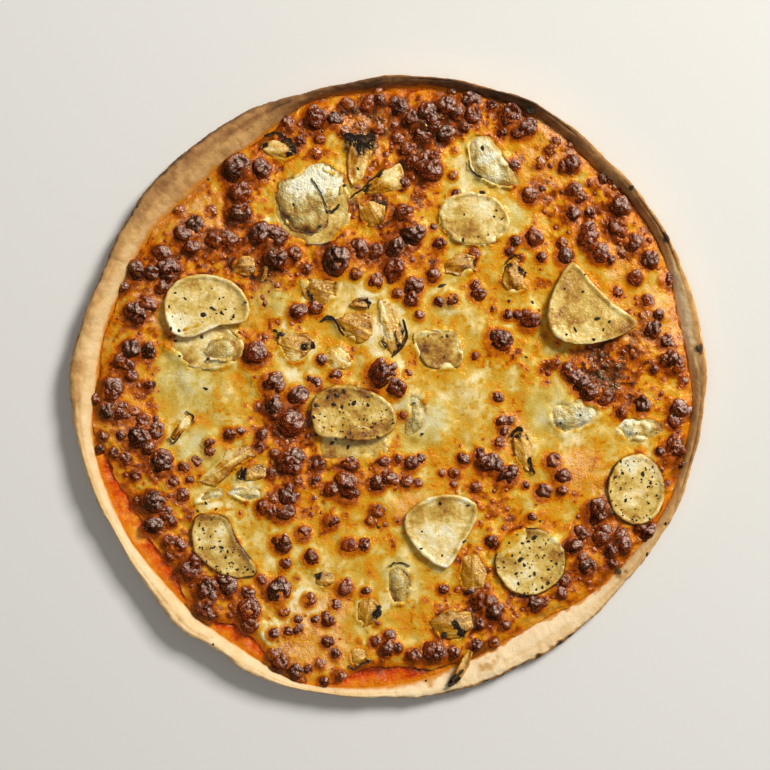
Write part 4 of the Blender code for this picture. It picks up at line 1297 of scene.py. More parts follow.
def halo_and_shadow_of(x, y):
    """The ring round each blister, 0 to 1: browning near it, and painted shadow where it is shifted to the
    side away from the window.
    """
    halo = np.zeros(len(x))
    for number, (bx, by, reach) in enumerate((*LARGE, *SMALL)):
        strength = 1.0 if number < len(LARGE) else SMALL_HALO
        bx, by = bx - HALO_SHADOW_SHIFT * reach, by - HALO_SHADOW_SHIFT * reach
        near = (np.abs(x - bx) < reach + 5) & (np.abs(y - by) < reach + 5)
        distance = np.hypot(x[near] - bx, y[near] - by) - reach
        halo[near] = np.maximum(halo[near], strength * smooth(1 - distance / (0.8 + 0.42 * reach)))
    return halo


def cheese_paint(points, brown):
    """The painted values of the cheese at these points, from how brown the map has them."""
    x, y = points[:, 0], points[:, 1]
    level = points * (1, 1, 0)
    toast = brown - 0.03 + layered(level, (5.5, 47, 0.36), (2.2, 48, 0.22))
    toast += DARKEN * marks(points, DARKER_CHEESE, rag=0.8) - SOFTEN * marks(points, SOFT_CHEESE, rag=0.8)
    blotches = swelling(cloud(level, 4.6, 58), 0.56, 0.10) - 0.3
    toast += 0.16 * blotches * swelling(brown, 0.36, 0.2) * smooth((0.9 - brown) / 0.2)
    toast += 0.22 * swelling(cloud(level, 1.7, 50), 0.74, 0.14) * smooth(brown / 0.3)
    halo = halo_and_shadow_of(x, y)
    toast -= 0.12 * swelling(brown, 0.35, 0.2) * smooth((0.8 - brown) / 0.2)
    # round each blister the toast darkens to the halo: browning, with painted shadow on the side away from
    # the window
    toast = np.maximum(toast, (0.52 + 0.40 * brown) * halo + toast * (1 - halo))
    wet, sheen = patches(x, y, WET_MOULD), patches(x, y, PINK_SHEEN)
    toast = toast * (1 - 0.35 * wet * (1 - halo)) + wet * layered(level, (3.4, 57, 0.16))
    raised = np.clip((points[:, 2] - CHEESE_LEVEL) / 0.8, -1, 1)
    toast -= 0.13 * raised * (1 - halo) * smooth((0.62 - brown) / 0.3)
    crinkles = ridges(points, 2.6, 54) ** 2 - 0.4
    toast += 0.20 * sheen * crinkles + 0.16 * crinkles * swelling(brown, 0.45, 0.2)
    gap = near_topping(x, y)
    toast += 0.22 * np.exp(-((gap - 0.2) / 1.1) ** 2) * smooth(cloud(level, 4.0, 55) * 2 - 0.5)
    toast -= 0.06 * smooth(-gap / 1.5)
    to_edge = around(CHEESE_EDGE, direction_of(x, y)) - np.hypot(x, y)
    toast += 0.30 * smooth((2.6 - to_edge) / 2.6) * smooth(cloud(level, 5.0, 56) * 2.4 - 0.7)
    hollow = smooth((CHEESE_LEVEL + 0.1 - points[:, 2]) / 0.7)
    oil = 0.5 * hollow * swelling(brown, 0.3, 0.3) + 0.7 * smooth((4 - to_edge) / 4)
    sheen = sheen * (1 - 0.7 * halo)
    return {"toast": toast, "wet": wet, "sheen": sheen, "oil": oil, "rough": swelling(toast, 0.25, 0.4)}


def make_cheese_material():
    material, tree, shader = new_material(
        "melted cheese", 0.2, shine=0.5, coat=0.06, coat_roughness=0.1, soft=0.05, gleam=OILY)
    toast = mottled(tree, "toast", coarse=0.26, fine=0.28)
    colour = ramp(tree, toast, (
        (0.0, (255, 242, 202)), (0.13, (242, 214, 140)), (0.26, (222, 184, 84)), (0.38, (216, 162, 38)),
        (0.50, (224, 146, 10)), (0.60, (212, 120, 0)), (0.70, (178, 82, 0)), (0.80, (130, 48, 0)),
        (0.90, (76, 26, 2)), (1.0, (38, 14, 4)),
    ))
    rough, lit = painted(tree, "rough"), painted(tree, "lit")
    colour = tint(tree, colour, painted(tree, "wet"), 0.42, (190, 180, 96))
    # painted sheen: the sheen patches turn orange
    sheen = mottled(tree, "sheen", coarse=0.5, fine=1.2)
    sheen = maths(tree, "MULTIPLY", sheen, painted(tree, "sheen"), clamp=True)
    colour = tint(tree, colour, sheen, 0.58, (255, 166, 30))
    colour = tint(tree, colour, painted(tree, "oil"), 0.36, (216, 108, 0))
    # painted glints: pale crackle lines on the wrinkled skin where it faces the window, and on the sheen
    # patches
    on_skin = maths(tree, "MULTIPLY", lit, maths(tree, "MULTIPLY", rough, 0.2))
    on_sheen = maths(tree, "ADD", 0.08, maths(tree, "MULTIPLY", lit, 0.8))
    amount = maths(tree, "ADD", on_skin, maths(tree, "MULTIPLY", painted(tree, "sheen"), on_sheen))
    colour = tint(tree, colour, use(tree, CRACKLE, Size=1.5, Width=0.24), amount, (250, 214, 184))
    pits = use(tree, SPECKLE, Size=420.0, Radius=0.24, Share=0.22)
    colour = tint(tree, colour, pits, maths(tree, "MULTIPLY", rough, 0.5), (130, 56, 12))
    polish(tree, shader, rough=0.24, mask=toast, amount=0.08)
    relief = use(tree, SKIN, Size=1.0, Lumps=0.7, Wrinkles=0.2, Pits=0.5)
    fine = maths(tree, "MULTIPLY", use(tree, SKIN, Size=1.9, Lumps=0.6, Wrinkles=0.5, Pits=0.6), sheen)
    strength = maths(tree, "ADD", 0.35, maths(tree, "MULTIPLY", rough, 0.4))
    height = maths(tree, "ADD", relief, maths(tree, "MULTIPLY", fine, 0.8))
    height = maths(tree, "MULTIPLY", height, strength)
    dress(tree, shader, colour, height, depth_mm=0.8)
    return material


CHEESE = make_cheese_material()
cheese = make_cheese()
settle(cheese, CHEESE, "cheese", "cheese")

# %% [markdown]
# # Blisters: their skins
#
# The sheet of cheese is too coarse for wrinkles half a millimetre wide, so each blister gets a
# skin of its own that stands on it. One half ball is modelled for each size, by cutting an ico
# sphere, whose points are spread evenly. Each copy is then stretched, dented and wrinkled by
# noise at its own place, so that no two look alike, and all of one kind are joined.

# %% Half balls
CUT_BELOW = -0.12
FINE_RADIUS = 4.4
BALL_SIZES = ((5.4, 5), (2.7, 4), (1.3, 3), (0.0, 2))
SKIN_SHARE = 0.94
SPROUT_DEPTH = 0.1


def half_ball(cuts):
    start_clean()
    bpy.ops.mesh.primitive_ico_sphere_add(subdivisions=cuts, radius=1)
    piece = bpy.context.object
    piece.name = f"half_ball_{cuts}"
    edit(piece, (bpy.ops.mesh.bisect, {
        "plane_co": (0, 0, CUT_BELOW), "plane_no": (0, 0, 1), "clear_inner": True, "use_fill": True}))
    return piece


HALF_BALLS = {cuts: half_ball(cuts) for _, cuts in BALL_SIZES}
print({key: triangles(ball) for key, ball in HALF_BALLS.items()})

# %% Skin of one blister
def turned(x, y, angle):
    """These places turned round the origin."""
    return x * math.cos(angle) - y * math.sin(angle), x * math.sin(angle) + y * math.cos(angle)


def make_blister(spot, base, number, rise, wrinkle, burnt):
    """One skin on this height: rise is its height over its radius, wrinkle how crackled it is."""
    x, y, radius = spot[0], spot[1], SKIN_SHARE * spot[2]
    piece = twin(HALF_BALLS[next(cuts for least, cuts in BALL_SIZES if radius >= least)], "blister")
    unit = points_of(piece) * MM
    chance = np.random.default_rng(1000 + number)
    turn, stretch, luck = chance.random(3)
    turn *= math.pi
    along, side = turned(unit[:, 0], unit[:, 1], -turn)
    long, wide = 1 + 0.16 * stretch, 1 - 0.10 * stretch
    place = unit * radius + (x, y, 0)
    lobes = cloud(place, max(0.62 * radius, 1.0), number % 50 + 60) - 0.5
    lumps = cloud(place, max(0.34 * radius, 0.9), number % 40 + 70) - 0.5
    up = np.clip(unit[:, 2], 0, 1)
    dome = up ** 1.2 * rise * (1 + 0.9 * lobes + 0.9 * lumps)
    height = np.where(unit[:, 2] > 0, dome, unit[:, 2] * 1.4)
    if luck > 0.8 and radius > 3:
        height -= 0.14 * rise * smooth((up - 0.6) / 0.4)
    out = np.stack([*turned(along * long, side * wide, turn), height], axis=1)
    out[:, :2] *= (1 + 0.5 * lobes)[:, None]
    crests = ridges(place, 1.5, 51)
    fine = ridges(place * (1, 1, 1.5), 0.8, 52)
    relief = wrinkle * (0.42 * (crests ** 2 - 0.4) + 0.26 * (fine ** 2 - 0.4)) * smooth(up / 0.3)
    foot = base - SKIRT_RISE * radius - SPROUT_DEPTH
    move_under(piece, out * radius + unit * relief[:, None] + (x, y, foot))
    facing = unit @ np.array(WINDOW_WAY)
    # painted light: the pale foot of the skin reaches higher on the side facing the window
    rim = smooth((np.sqrt(1 - up * up) + 0.5 * lobes - 0.66) / 0.34) * (0.55 + 0.45 * smooth(facing + 0.5))
    toast = burnt + 0.26 * (chance.random() - 0.6)
    toast += (0.64 - toast) * rim + layered(place, (1.6, 53, 0.26)) - 0.14 * wrinkle * (fine - 0.5)
    # painted shade: darker on the side away from the window
    toast += 0.10 * smooth((0.35 - facing) / 0.5)
    paint(piece, "toast", toast)
    # how strong the painted highlights are: random for each skin, and only on the side facing the window
    paint(piece, "fair", (0.7 + 0.9 * chance.random()) * smooth((facing - 0.25) / 0.5))
    return piece


def make_blisters(name, spots, first, rise, wrinkle, burnt, material):
    """All the blisters of one kind as one piece; first is the number that seeds the first of them."""
    x, y, _ = np.array(spots).T
    piece = join(name, [
        make_blister(spot, base, first + index, rise, wrinkle, burnt)
        for index, (spot, base) in enumerate(zip(spots, cheese_height(x, y)))])
    shade_smooth(piece, degrees=75)
    paint(piece, "lit", lit_side(piece, least=0.82))
    settle(piece, material, "cheese", "cheese")


def make_blister_material(name, coat, pink, bump):
    material, tree, shader = new_material(name, 0.25, shine=0.5, coat=coat, coat_roughness=0.14, gleam=OILY)
    toast = mottled(tree, "toast", coarse=0.12, fine=0.22)
    colour = ramp(tree, toast, (
        (0.0, (222, 166, 50)), (0.4, (218, 140, 16)), (0.52, (196, 96, 0)), (0.64, (150, 56, 0)),
        (0.76, (112, 34, 0)), (0.88, (78, 24, 0)), (1.0, (42, 14, 2)),
    ))
    crackle = use(tree, CRACKLE, Size=1.3, Width=0.4)
    # painted highlights: a pinkish-brown sheen and pale crackle lines on the side facing the window, scaled
    # by pink
    lit = maths(tree, "MULTIPLY", painted(tree, "lit"), painted(tree, "fair"), clamp=True)
    colour = tint(tree, colour, lit, 0.44 * pink, (196, 124, 104))
    colour = tint(tree, colour, crackle, maths(tree, "MULTIPLY", lit, pink), (255, 224, 212))
    polish(tree, shader, rough=0.32, mask=toast, amount=0.12)
    skin = use(tree, SKIN, Size=1.2, Lumps=0.5, Wrinkles=0.6, Pits=0.5)
    dress(tree, shader, colour, maths(tree, "ADD", skin, maths(tree, "MULTIPLY", crackle, 0.3)), bump)
    return material


# %% The kinds of blisters
CRACKLED_SKIN = make_blister_material("crackled blister", coat=0.1, pink=1.0, bump=1.3)
GLOSSY_SKIN = make_blister_material("glossy blister", coat=0.3, pink=0.5, bump=0.5)
PINK_SKIN = make_blister_material("pink blister", coat=0.3, pink=1.0, bump=0.9)
BIG = [spot for spot in LARGE if spot in CRACKLED and spot[2] >= FINE_RADIUS]
MIDDLE = [spot for spot in LARGE if spot in CRACKLED and spot[2] < FINE_RADIUS]
HALF = len(BIG) // 2
KINDS = {
    "large_a": dict(spots=BIG[:HALF],
                    first=0, rise=0.50, wrinkle=1.1, burnt=0.86, material=CRACKLED_SKIN),
    "large_b": dict(spots=BIG[HALF:],
                    first=150, rise=0.50, wrinkle=1.1, burnt=0.86, material=CRACKLED_SKIN),
    "middle": dict(spots=MIDDLE, first=300, rise=0.50, wrinkle=0.9, burnt=0.77, material=CRACKLED_SKIN),
    "glossy": dict(spots=[spot for spot in LARGE if spot in GLOSSY],
                   first=600, rise=0.52, wrinkle=0.1, burnt=0.78, material=GLOSSY_SKIN),
    "pink": dict(spots=[spot for spot in LARGE if spot in PINK],
                 first=650, rise=0.45, wrinkle=0.8, burnt=0.62, material=PINK_SKIN),
    "charred": dict(spots=[spot for spot in LARGE if spot in CHARRED],
                    first=700, rise=0.50, wrinkle=1.2, burnt=0.98, material=CRACKLED_SKIN),
    "small": dict(spots=SMALL, first=750, rise=0.40, wrinkle=0.3, burnt=0.68, material=GLOSSY_SKIN),
}
for kind, settings in KINDS.items():
    make_blisters(f"blisters_{kind}", **settings)
for ball in HALF_BALLS.values():
    bpy.data.objects.remove(ball)

# %% [markdown]
# # Potato
#
# The slices are thin rounds of waxy potato that dried at the edge and curled up a little. The
# solids have the outline and the lean already, so each slice starts as a copy of its solid,
# remeshed into small even faces that noise can shape: the edge lifts, the face ripples, and a
# faint ring shows inside the rim, as it does in any cut potato. Where cheese ran over the edge,
# the slice stays down.

# %% Refine a copy of a solid
def refined(node, name, voxel, rounds):
    """A copy of a solid in even faces of this size in millimetres, its sharp edges softened."""
    piece = copy_of(node, name)
    apply_modifier(piece, "REMESH", mode="VOXEL", voxel_size=voxel * MM)
    apply_modifier(piece, "SMOOTH", factor=0.5, iterations=rounds)
    return piece


def under_cheese(node, points):
    """Each point's distance to the topping's outline, and how far it lies under cheese."""
    x, y = points[:, 0], points[:, 1]
    gap = distance_to(OUTLINES[node], x, y)
    return gap, covered(node, x, y, np.minimum(gap, 0)) if node in LYING else 0 * gap


print("nothing rises over", round(TOP_LIMIT, 2), "mm")

# %% Potato slices
SLICE_VOXEL = 0.8
RING_INSIDE = 2.6
PULLED_SLICE, PULLED_FROM, PULL, PULL_SPREAD = "02", (-34, -22, 0), (-3.0, -4.0), 60.0
SLICE_TAN = {
    "02": 0.12, "05": -0.08, "06": 0.05, "08": -0.08, "09": 0.15, "10": -0.04, "11": 0.15, "12": 0.17,
}
BROWN_EDGE = {"02": 0.3, "04": 0.8, "05": 0.8, "09": 0.7, "11": 0.3}
CURL = {
    "01": 0.3, "02": 1.3, "03": 0.3, "04": 0.9, "05": 0.8, "06": 0.7,
    "07": 0.3, "08": 1.4, "09": 0.9, "10": 1.0, "11": 0.4, "12": 1.2,
}
POTATO_BROWN = (
    (27, -61, 7), (14, -62, 5), (-14, -13, 4), (-8, -21, 4), (-17, -24, 4), (-26, -5, 6), (-12, -3, 4),
    (-20, -20, 4), (-2, -19, 3), (-12, -25, 3), (40, 79, 5), (36, 88, 3), (60, -88, 5), (78, -98, 4),
    (84, -84, 4), (134, -52, 5), (112, -44, 4), (120, -64, 4), (-110, 42, 4), (-74, 40, 3), (-70, -80, 4),
    (12, -66, 5), (42, -60, 4), (18, 20, 4), (120, 30, 4), (82, 30, 3), (-25, 78, 6), (-45, 78, 5),
    (-100, 12, 4), (-75, 14, 4), (-30, -36, 5), (-8, -37, 4), (72, -72, 4), (130, -60, 4), (-88, 45, 3),
    (-97, 51, 3),
)
POTATO_PALE = (
    (24, -79, 10), (30, -74, 8), (28, -86, 6), (20, -74, 6), (16, 29, 6), (28, 30, 6), (36, 20, 4),
    (-90, 20, 8), (-104, 32, 6), (45, 90, 9), (30, 90, 5), (52, 78, 6), (100, 24, 8), (114, 38, 6),
    (-82, -72, 5), (-30, -15, 5), (75, -100, 4), (118, -38, 5), (-22, -17, 5), (-28, -23, 4), (-14, -8, 3),
    (86, 28, 5), (84, 42, 4), (-84, -80, 5), (22, -57, 3), (120, -56, 5), (70, -92, 5), (-5, -12, 5),
    (-2, -8, 4), (62, -98, 4), (-94, -74, 5), (-80, -89, 5), (38, -57, 4),
)


def make_potato_material():
    material, tree, shader = new_material(
        "baked potato", 0.36, shine=0.5, coat=0.15, soft=0.15, soft_reach=2.0)
    colour = ramp(tree, mottled(tree, "cooked", coarse=0.30, fine=0.5, shift=0.3), (
        (0.0, (255, 246, 212)), (0.18, (246, 222, 158)), (0.36, (222, 190, 102)), (0.52, (198, 156, 64)),
        (0.68, (170, 116, 36)), (0.85, (118, 68, 22)), (1.0, (50, 30, 18)),
    ))
    colour = tint(tree, colour, painted(tree, "ring"), 0.35, (134, 106, 34))
    colour = tint(tree, colour, use(tree, SPECKLE, Size=520.0, Radius=0.2, Share=0.08), 0.7, (84, 66, 24))
    dress(tree, shader, colour, use(tree, SKIN, Size=0.8, Lumps=0.7, Wrinkles=0.2, Pits=0.4), depth_mm=0.5)
    return material


def make_slice(number):
    node = f"potato_slice_{number}"
    piece = refined(node, f"potato_{number}", SLICE_VOXEL, rounds=4)
    points, normals = points_of(piece), normals_of(piece)
    level = points * (1, 1, 0)
    gap, cheesy = under_cheese(node, points)
    if number == PULLED_SLICE:
        away = (points - PULLED_FROM)[:, :2]
        points[:, :2] += np.exp(-(away ** 2).sum(axis=1) / PULL_SPREAD)[:, None] * PULL
    lift = CURL[number] * smooth((gap + 5.0) / 5.0) ** 1.5 * (0.5 + cloud(level, 12.0, 72)) * (1 - cheesy)
    ripple = layered(level, (7.0, 73, 0.6))
    fine = layered(points, (2.4, 74, 0.4)) - 0.3 * smooth(1 - np.abs(gap + 3.0) / 0.7)
    points += normals * (fine * smooth(normals[:, 2] + 0.3))[:, None]
    points[:, 2] += lift + (ripple - 0.5 * cheesy) * (normals[:, 2] > LOOKS_DOWN)
    move_under(piece, points)
    cut = smooth((gap + 1.8) / 1.2)
    cooked = 0.36 + SLICE_TAN.get(number, 0.0) - 0.22 * cut * smooth(cloud(level, 9.0, 78) * 2.2 - 0.5)
    cooked += 0.18 * marks(points, POTATO_BROWN) - 0.28 * marks(points, POTATO_PALE)
    cooked += 0.14 * ridges(points * (1, 2.2, 1), 5.0, 75) ** 6
    cooked += layered(level, (8.0, 76, 0.26), (3.2, 79, 0.24))
    cooked += 0.25 * smooth((gap + 0.4) / 0.5) * cloud(level, 4.0, 80)
    crisp = smooth(gap + 1.4) * smooth(2.4 * cloud(level, 7.0, 68) - 0.4)
    cooked += BROWN_EDGE.get(number, 0.0) * crisp
    paint(piece, "cooked", cooked)
    from_ring = np.abs(gap + RING_INSIDE + layered(points, (6.0, 77, 0.8)))
    paint(piece, "ring", smooth(1 - from_ring / 0.6) * smooth(2 * cloud(level, 14.0, 70) - 0.3))
    shade_smooth(piece, degrees=70)
    settle(piece, POTATO, "potato", node)


POTATO = make_potato_material()
for node in TOPPINGS:
    if node.startswith("potato"):
        make_slice(node[-2:])

# %% [markdown]
# # Blue cheese
#
# Crumbled blue cheese softens but keeps its lumps: chalky white where it stands up, and soft
# and greenish where it ran, with grey veins of mould. Strong noise on the remeshed copy makes the
# lumps, its edge is drawn thin so that it runs into the cheese around it, and the veins are folds
# of noise that are cut off outside a few patches.

# %% Blue cheese crumbs
CRUMBLE_VOXEL = 0.62
VEINED = (
    (6, -89, 5), (11, -99, 5), (42, 110, 6), (57, 107, 4), (-50, 92, 4), (-44, 83, 12), (-36, 94, 4),
    (97, -15, 6), (86, -17, 4), (-87, 17, 4), (14, -8, 4), (12, -20, 4), (120, -22, 3), (-50, 90, 4),
    (4, -104, 3), (50, 118, 3),
)
SCORCHED = (
    (-52, 84, 4), (60, 100, 4), (115, -24, 5), (136, -20, 4), (-28, 82, 4), (-92, -55, 3), (1, -107, 3),
    (103, -8, 3), (85, -22, 3), (-40, 77, 5), (10, -93, 2),
)
CHALKY = (
    (-34, 106, 10), (-44, 100, 6), (-24, 101, 5), (49, 115, 4), (101, -14, 6), (118, -20, 8), (-80, -52, 4),
)
MELT_REACH = 4.0
CRUMB_TAN = {"01": 0.10, "03": -0.06, "04": -0.06, "06": 0.10, "07": -0.05, "09": -0.22}
MELT_DROP = 1.6
SUNKEN_DROP = 0.9
CRACK_DEPTH, CRACK_SIZE = 0.7, 6.0
PALEST_CRUMB = "blue_cheese_01"


def make_blue_cheese_material():
    material, tree, shader = new_material(
        "blue cheese", 0.36, shine=0.5, coat=0.15, soft=0.15, soft_reach=2.0)
    colour = ramp(tree, mottled(tree, "cooked", coarse=0.36, fine=0.4, shift=0.7), (
        (0.0, (255, 250, 224)), (0.2, (234, 218, 164)), (0.4, (206, 178, 100)), (0.58, (186, 144, 56)),
        (0.78, (166, 104, 34)), (1.0, (92, 52, 22)),
    ))
    vein = mottled(tree, "vein", coarse=0.5, fine=0.9)
    vein = maths(tree, "MULTIPLY", vein, painted(tree, "vein"), clamp=True)
    colour = tint(tree, colour, vein, 0.46, (112, 108, 56))
    dress(tree, shader, colour, use(tree, SKIN, Size=1.2, Lumps=0.9, Wrinkles=0.3, Pits=0.6), depth_mm=0.6)
    return material


def make_crumble(node):
    piece = refined(node, node + "_crumb", CRUMBLE_VOXEL, rounds=4)
    points, normals = points_of(piece), normals_of(piece)
    gap, cheesy = under_cheese(node, points)
    sunken = node in SUNKEN
    upper = smooth(normals[:, 2] + 0.7)
    lumps = layered(points, (5.5, 81, 1.2), (1.9, 82, 0.6))
    cracks = ridges(points * (1, 1, 0.4), CRACK_SIZE, 83) ** 9
    points += normals * ((lumps - CRACK_DEPTH * cracks) * upper)[:, None]
    melt = (MELT_DROP + SUNKEN_DROP * sunken) * smooth((gap + MELT_REACH) / MELT_REACH) + 0.5 * cheesy
    lowest = np.minimum(points[:, 2], points[:, 2].min() + 0.2)
    points[:, 2] = np.maximum(points[:, 2] - melt * upper, lowest)
    move_under(piece, points)
    veins = ridges(points * (1, 1, 0.3), 4.6, 84) ** 5
    paint(piece, "vein", marks(points, VEINED) * (0.25 + 1.2 * veins) + 0.3 * veins * cracks)
    cooked = 0.26 + CRUMB_TAN.get(node[-2:], 0.0) + 0.26 * smooth((-lumps - 0.1) / 0.8)
    cooked += (0.14 if sunken else 0.26) * smooth((gap + 2.6) / 2.6) + 0.25 * cracks
    cooked += 0.40 * marks(points, SCORCHED) + layered(points, (3.0, 85, 0.5))
    cooked -= (0.54 if node == PALEST_CRUMB else 0.26) * marks(points, CHALKY)
    paint(piece, "cooked", cooked)
    shade_smooth(piece, degrees=70)
    settle(piece, BLUE_CHEESE, "blue_cheese", node)


BLUE_CHEESE = make_blue_cheese_material()
for node in TOPPINGS:
    if node.startswith("blue"):
        make_crumble(node)

# %% [markdown]
# # Onion
#
# Onion comes apart into curved petals with faint parallel layers, which turn glassy and golden in
# the oven and burn black at the tips. The layers run along each petal, so its long direction is
# worked out from its outline, and the distance across is painted onto it for the material.

# %% Onion petals
PETAL_VOXEL = 0.48
LAYER_COUNT, VEIN_COUNT = 6.0, 16.0
FIBRE_LENGTHS = 2.2
ONION_CHAR = (
    (-65, 119, 4.5), (-50, 124, 3), (-47, 118, 3.5), (-20, 124, 4), (-14, 124, 4.5), (-8, 123, 4),
    (-14, 119, 3), (-14, 97, 2.5), (-10, 101, 1.6), (-5, 106.5, 1.5), (-12, 99, 2), (-54, 27, 2.2),
    (-37, 19.5, 2.4), (-42, 20, 2), (-28, 34.5, 1.8), (-24, 29, 1.8), (-22, 26, 1.2), (7.5, 32, 1.5),
    (8.2, 27, 1.6), (6.6, 20, 1.6), (3, 16.5, 1.8), (-2, 21, 1.3), (-6, 30, 1.2), (-10, 43, 1.8),
    (-9.5, 40, 1), (-98, -13, 1.3), (-97.5, -17, 1), (-107.5, -27, 1.2), (-74, -44, 3), (-72, -41, 1.5),
    (64, -23.5, 3), (70, -24, 2), (71, -37, 1.5), (72, -42, 2), (60, 62.5, 2), (65, 65, 1.5), (67, 58, 2),
    (-35.5, -94, 1.8), (-4.5, -113, 3), (34, -119, 2.5), (37, -123, 2.5), (28, -124, 2), (-10, -137, 2),
    (-17, -139, 1.6), (41, -102, 2), (-61, 53, 1.2), (-60, 66, 1), (-45, 55, 2), (-26, 52, 1.4),
    (31, -148.5, 3), (34, -146, 2.5), (29, -64, 1.5), (44, 62, 1.5), (-94, -46, 1.5), (-64, -33, 1.5),
)
PETAL_GREEN = ((-10, -112, 8), (25, -118, 9), (42, -92, 7), (35, -122, 6), (-32, 47, 8), (-8, 86, 5))
PETAL_PALE = (
    (-57, 121, 8), (-56, 119, 6), (-2, 38, 6), (-2, 26, 5), (-24, 16, 5), (-48, 15, 4), (-12, 106, 5),
    (2, 104, 5), (-102, -18, 4), (-76, -34, 5), (-88, -43, 4),
)


def make_onion_material():
    material, tree, shader = new_material(
        "baked onion", 0.18, shine=0.6, coat=0.1, coat_roughness=0.1, soft=0.12, gleam=OILY)
    cooked = mottled(tree, "cooked", coarse=0.4, fine=0.4, shift=1.1)
    fibres = []
    for count in (LAYER_COUNT, VEIN_COUNT):
        place = put(tree, "ShaderNodeCombineXYZ", {
            "X": maths(tree, "MULTIPLY", painted(tree, "across"), count),
            "Y": maths(tree, "MULTIPLY", painted(tree, "along"), FIBRE_LENGTHS)})
        fibres.append(put(tree, "ShaderNodeTexNoise", {
            "Vector": place.outputs[0], "Scale": 1.0, "Detail": 2.0, "Roughness": 0.5}).outputs["Fac"])
        centred = maths(tree, "SUBTRACT", fibres[-1], 0.5)
        cooked = maths(tree, "ADD", cooked, maths(tree, "MULTIPLY", centred, 0.7))
    colour = ramp(tree, cooked, (
        (0.0, (255, 240, 190)), (0.2, (238, 202, 118)), (0.38, (208, 152, 44)), (0.54, (180, 112, 8)),
        (0.7, (126, 66, 2)), (0.86, (64, 34, 10)), (1.0, (28, 20, 16)),
    ))
    colour = tint(tree, colour, painted(tree, "green"), 0.4, (184, 130, 8))
    # painted glints: pale crackle lines where the petal faces the window
    glints = maths(tree, "MULTIPLY", use(tree, CRACKLE, Size=1.3, Width=0.34), painted(tree, "lit"))
    colour = tint(tree, colour, glints, 0.7, (255, 228, 168))
    char = maths(tree, "MULTIPLY", mottled(tree, "char", coarse=0.3, fine=0.6), painted(tree, "char"))
    colour = tint(tree, colour, char, 1.7, (28, 24, 22))
    height = maths(tree, "ADD", fibres[0], use(tree, SKIN, Size=0.8, Lumps=0.5, Wrinkles=0.3, Pits=0.1))
    dress(tree, shader, colour, height, depth_mm=0.6)
    return material


def make_petal(node):
    piece = refined(node, node + "_petal", PETAL_VOXEL, rounds=5)
    points, normals = points_of(piece), normals_of(piece)
    outline = OUTLINES[node]
    centre = outline.mean(axis=0)
    _, _, axes = np.linalg.svd(outline - centre)
    along, across = ((points[:, :2] - centre) @ axes.T).T
    long, wide = np.abs((outline - centre) @ axes.T).max(axis=0)
    level = points * (1, 1, 0)
    gap, cheesy = under_cheese(node, points)
    curl = smooth((gap + 2.2) / 2.2) * 1.6 * (cloud(level, 6.0, 91) - 0.25)
    folds = layered(flat(along / 3, across), (2.6, 92, 1.2))
    fine = 0.14 * (ridges(flat(along / 4, across), 0.9, 93) - 0.5)
    points[:, 2] += np.maximum(curl + folds, -0.2) * (1 - cheesy) - 0.3 * cheesy * (normals[:, 2] > 0)
    points += normals * fine[:, None]
    move_under(piece, points)
    paint(piece, "along", along / long / 2 + 0.5)
    paint(piece, "across", across / wide / 2 * min(1.0, wide / 9) + 0.5)
    char = marks(points, ONION_CHAR, rag=0.7)
    paint(piece, "char", char)
    paint(piece, "green", marks(points, PETAL_GREEN))
    cooked = 0.50 + 0.30 * smooth((gap + 1.1) / 1.1) * (cloud(level, 4.0, 94) - 0.4) + 0.3 * char
    cooked += layered(level, (6.0, 95, 0.6)) - 0.34 * marks(points, PETAL_PALE)
    paint(piece, "cooked", cooked)
    shade_smooth(piece, degrees=70)
    paint(piece, "lit", lit_side(piece, least=0.82))
    settle(piece, ONION, "onion", node)


ONION = make_onion_material()
for node in TOPPINGS:
    if node.startswith("onion"):
        make_petal(node)

# %% [markdown]
# # Herbs and burnt edges
#
# Dried herbs and burnt crumbs lie on the potatoes in specks of one to three millimetres, with a
# finer dust between them. One small crumpled flake is modelled from a low ico sphere and copied,
# and each copy is turned, pressed flat and set down on whatever is highest under it.

# %% Where a speck comes to rest
COATS = ("cheese_melt", "potato_", "onion_", "blue_", "crust_baked", "blisters_")
SURFACE = np.concatenate([
    points_of(piece) for piece in bpy.data.objects
    if piece.name.startswith(COATS) and not piece.get("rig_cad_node")])
SURFACE = SURFACE[np.argsort(SURFACE[:, 0])]


def top_at(x, y, reach=0.8):
    """The height of the highest point near this place."""
    first, last = np.searchsorted(SURFACE[:, 0], (x - reach, x + reach))
    near = SURFACE[first:last]
    near = near[np.hypot(near[:, 0] - x, near[:, 1] - y) < reach]
    return near[:, 2].max() if len(near) else CHEESE_LEVEL


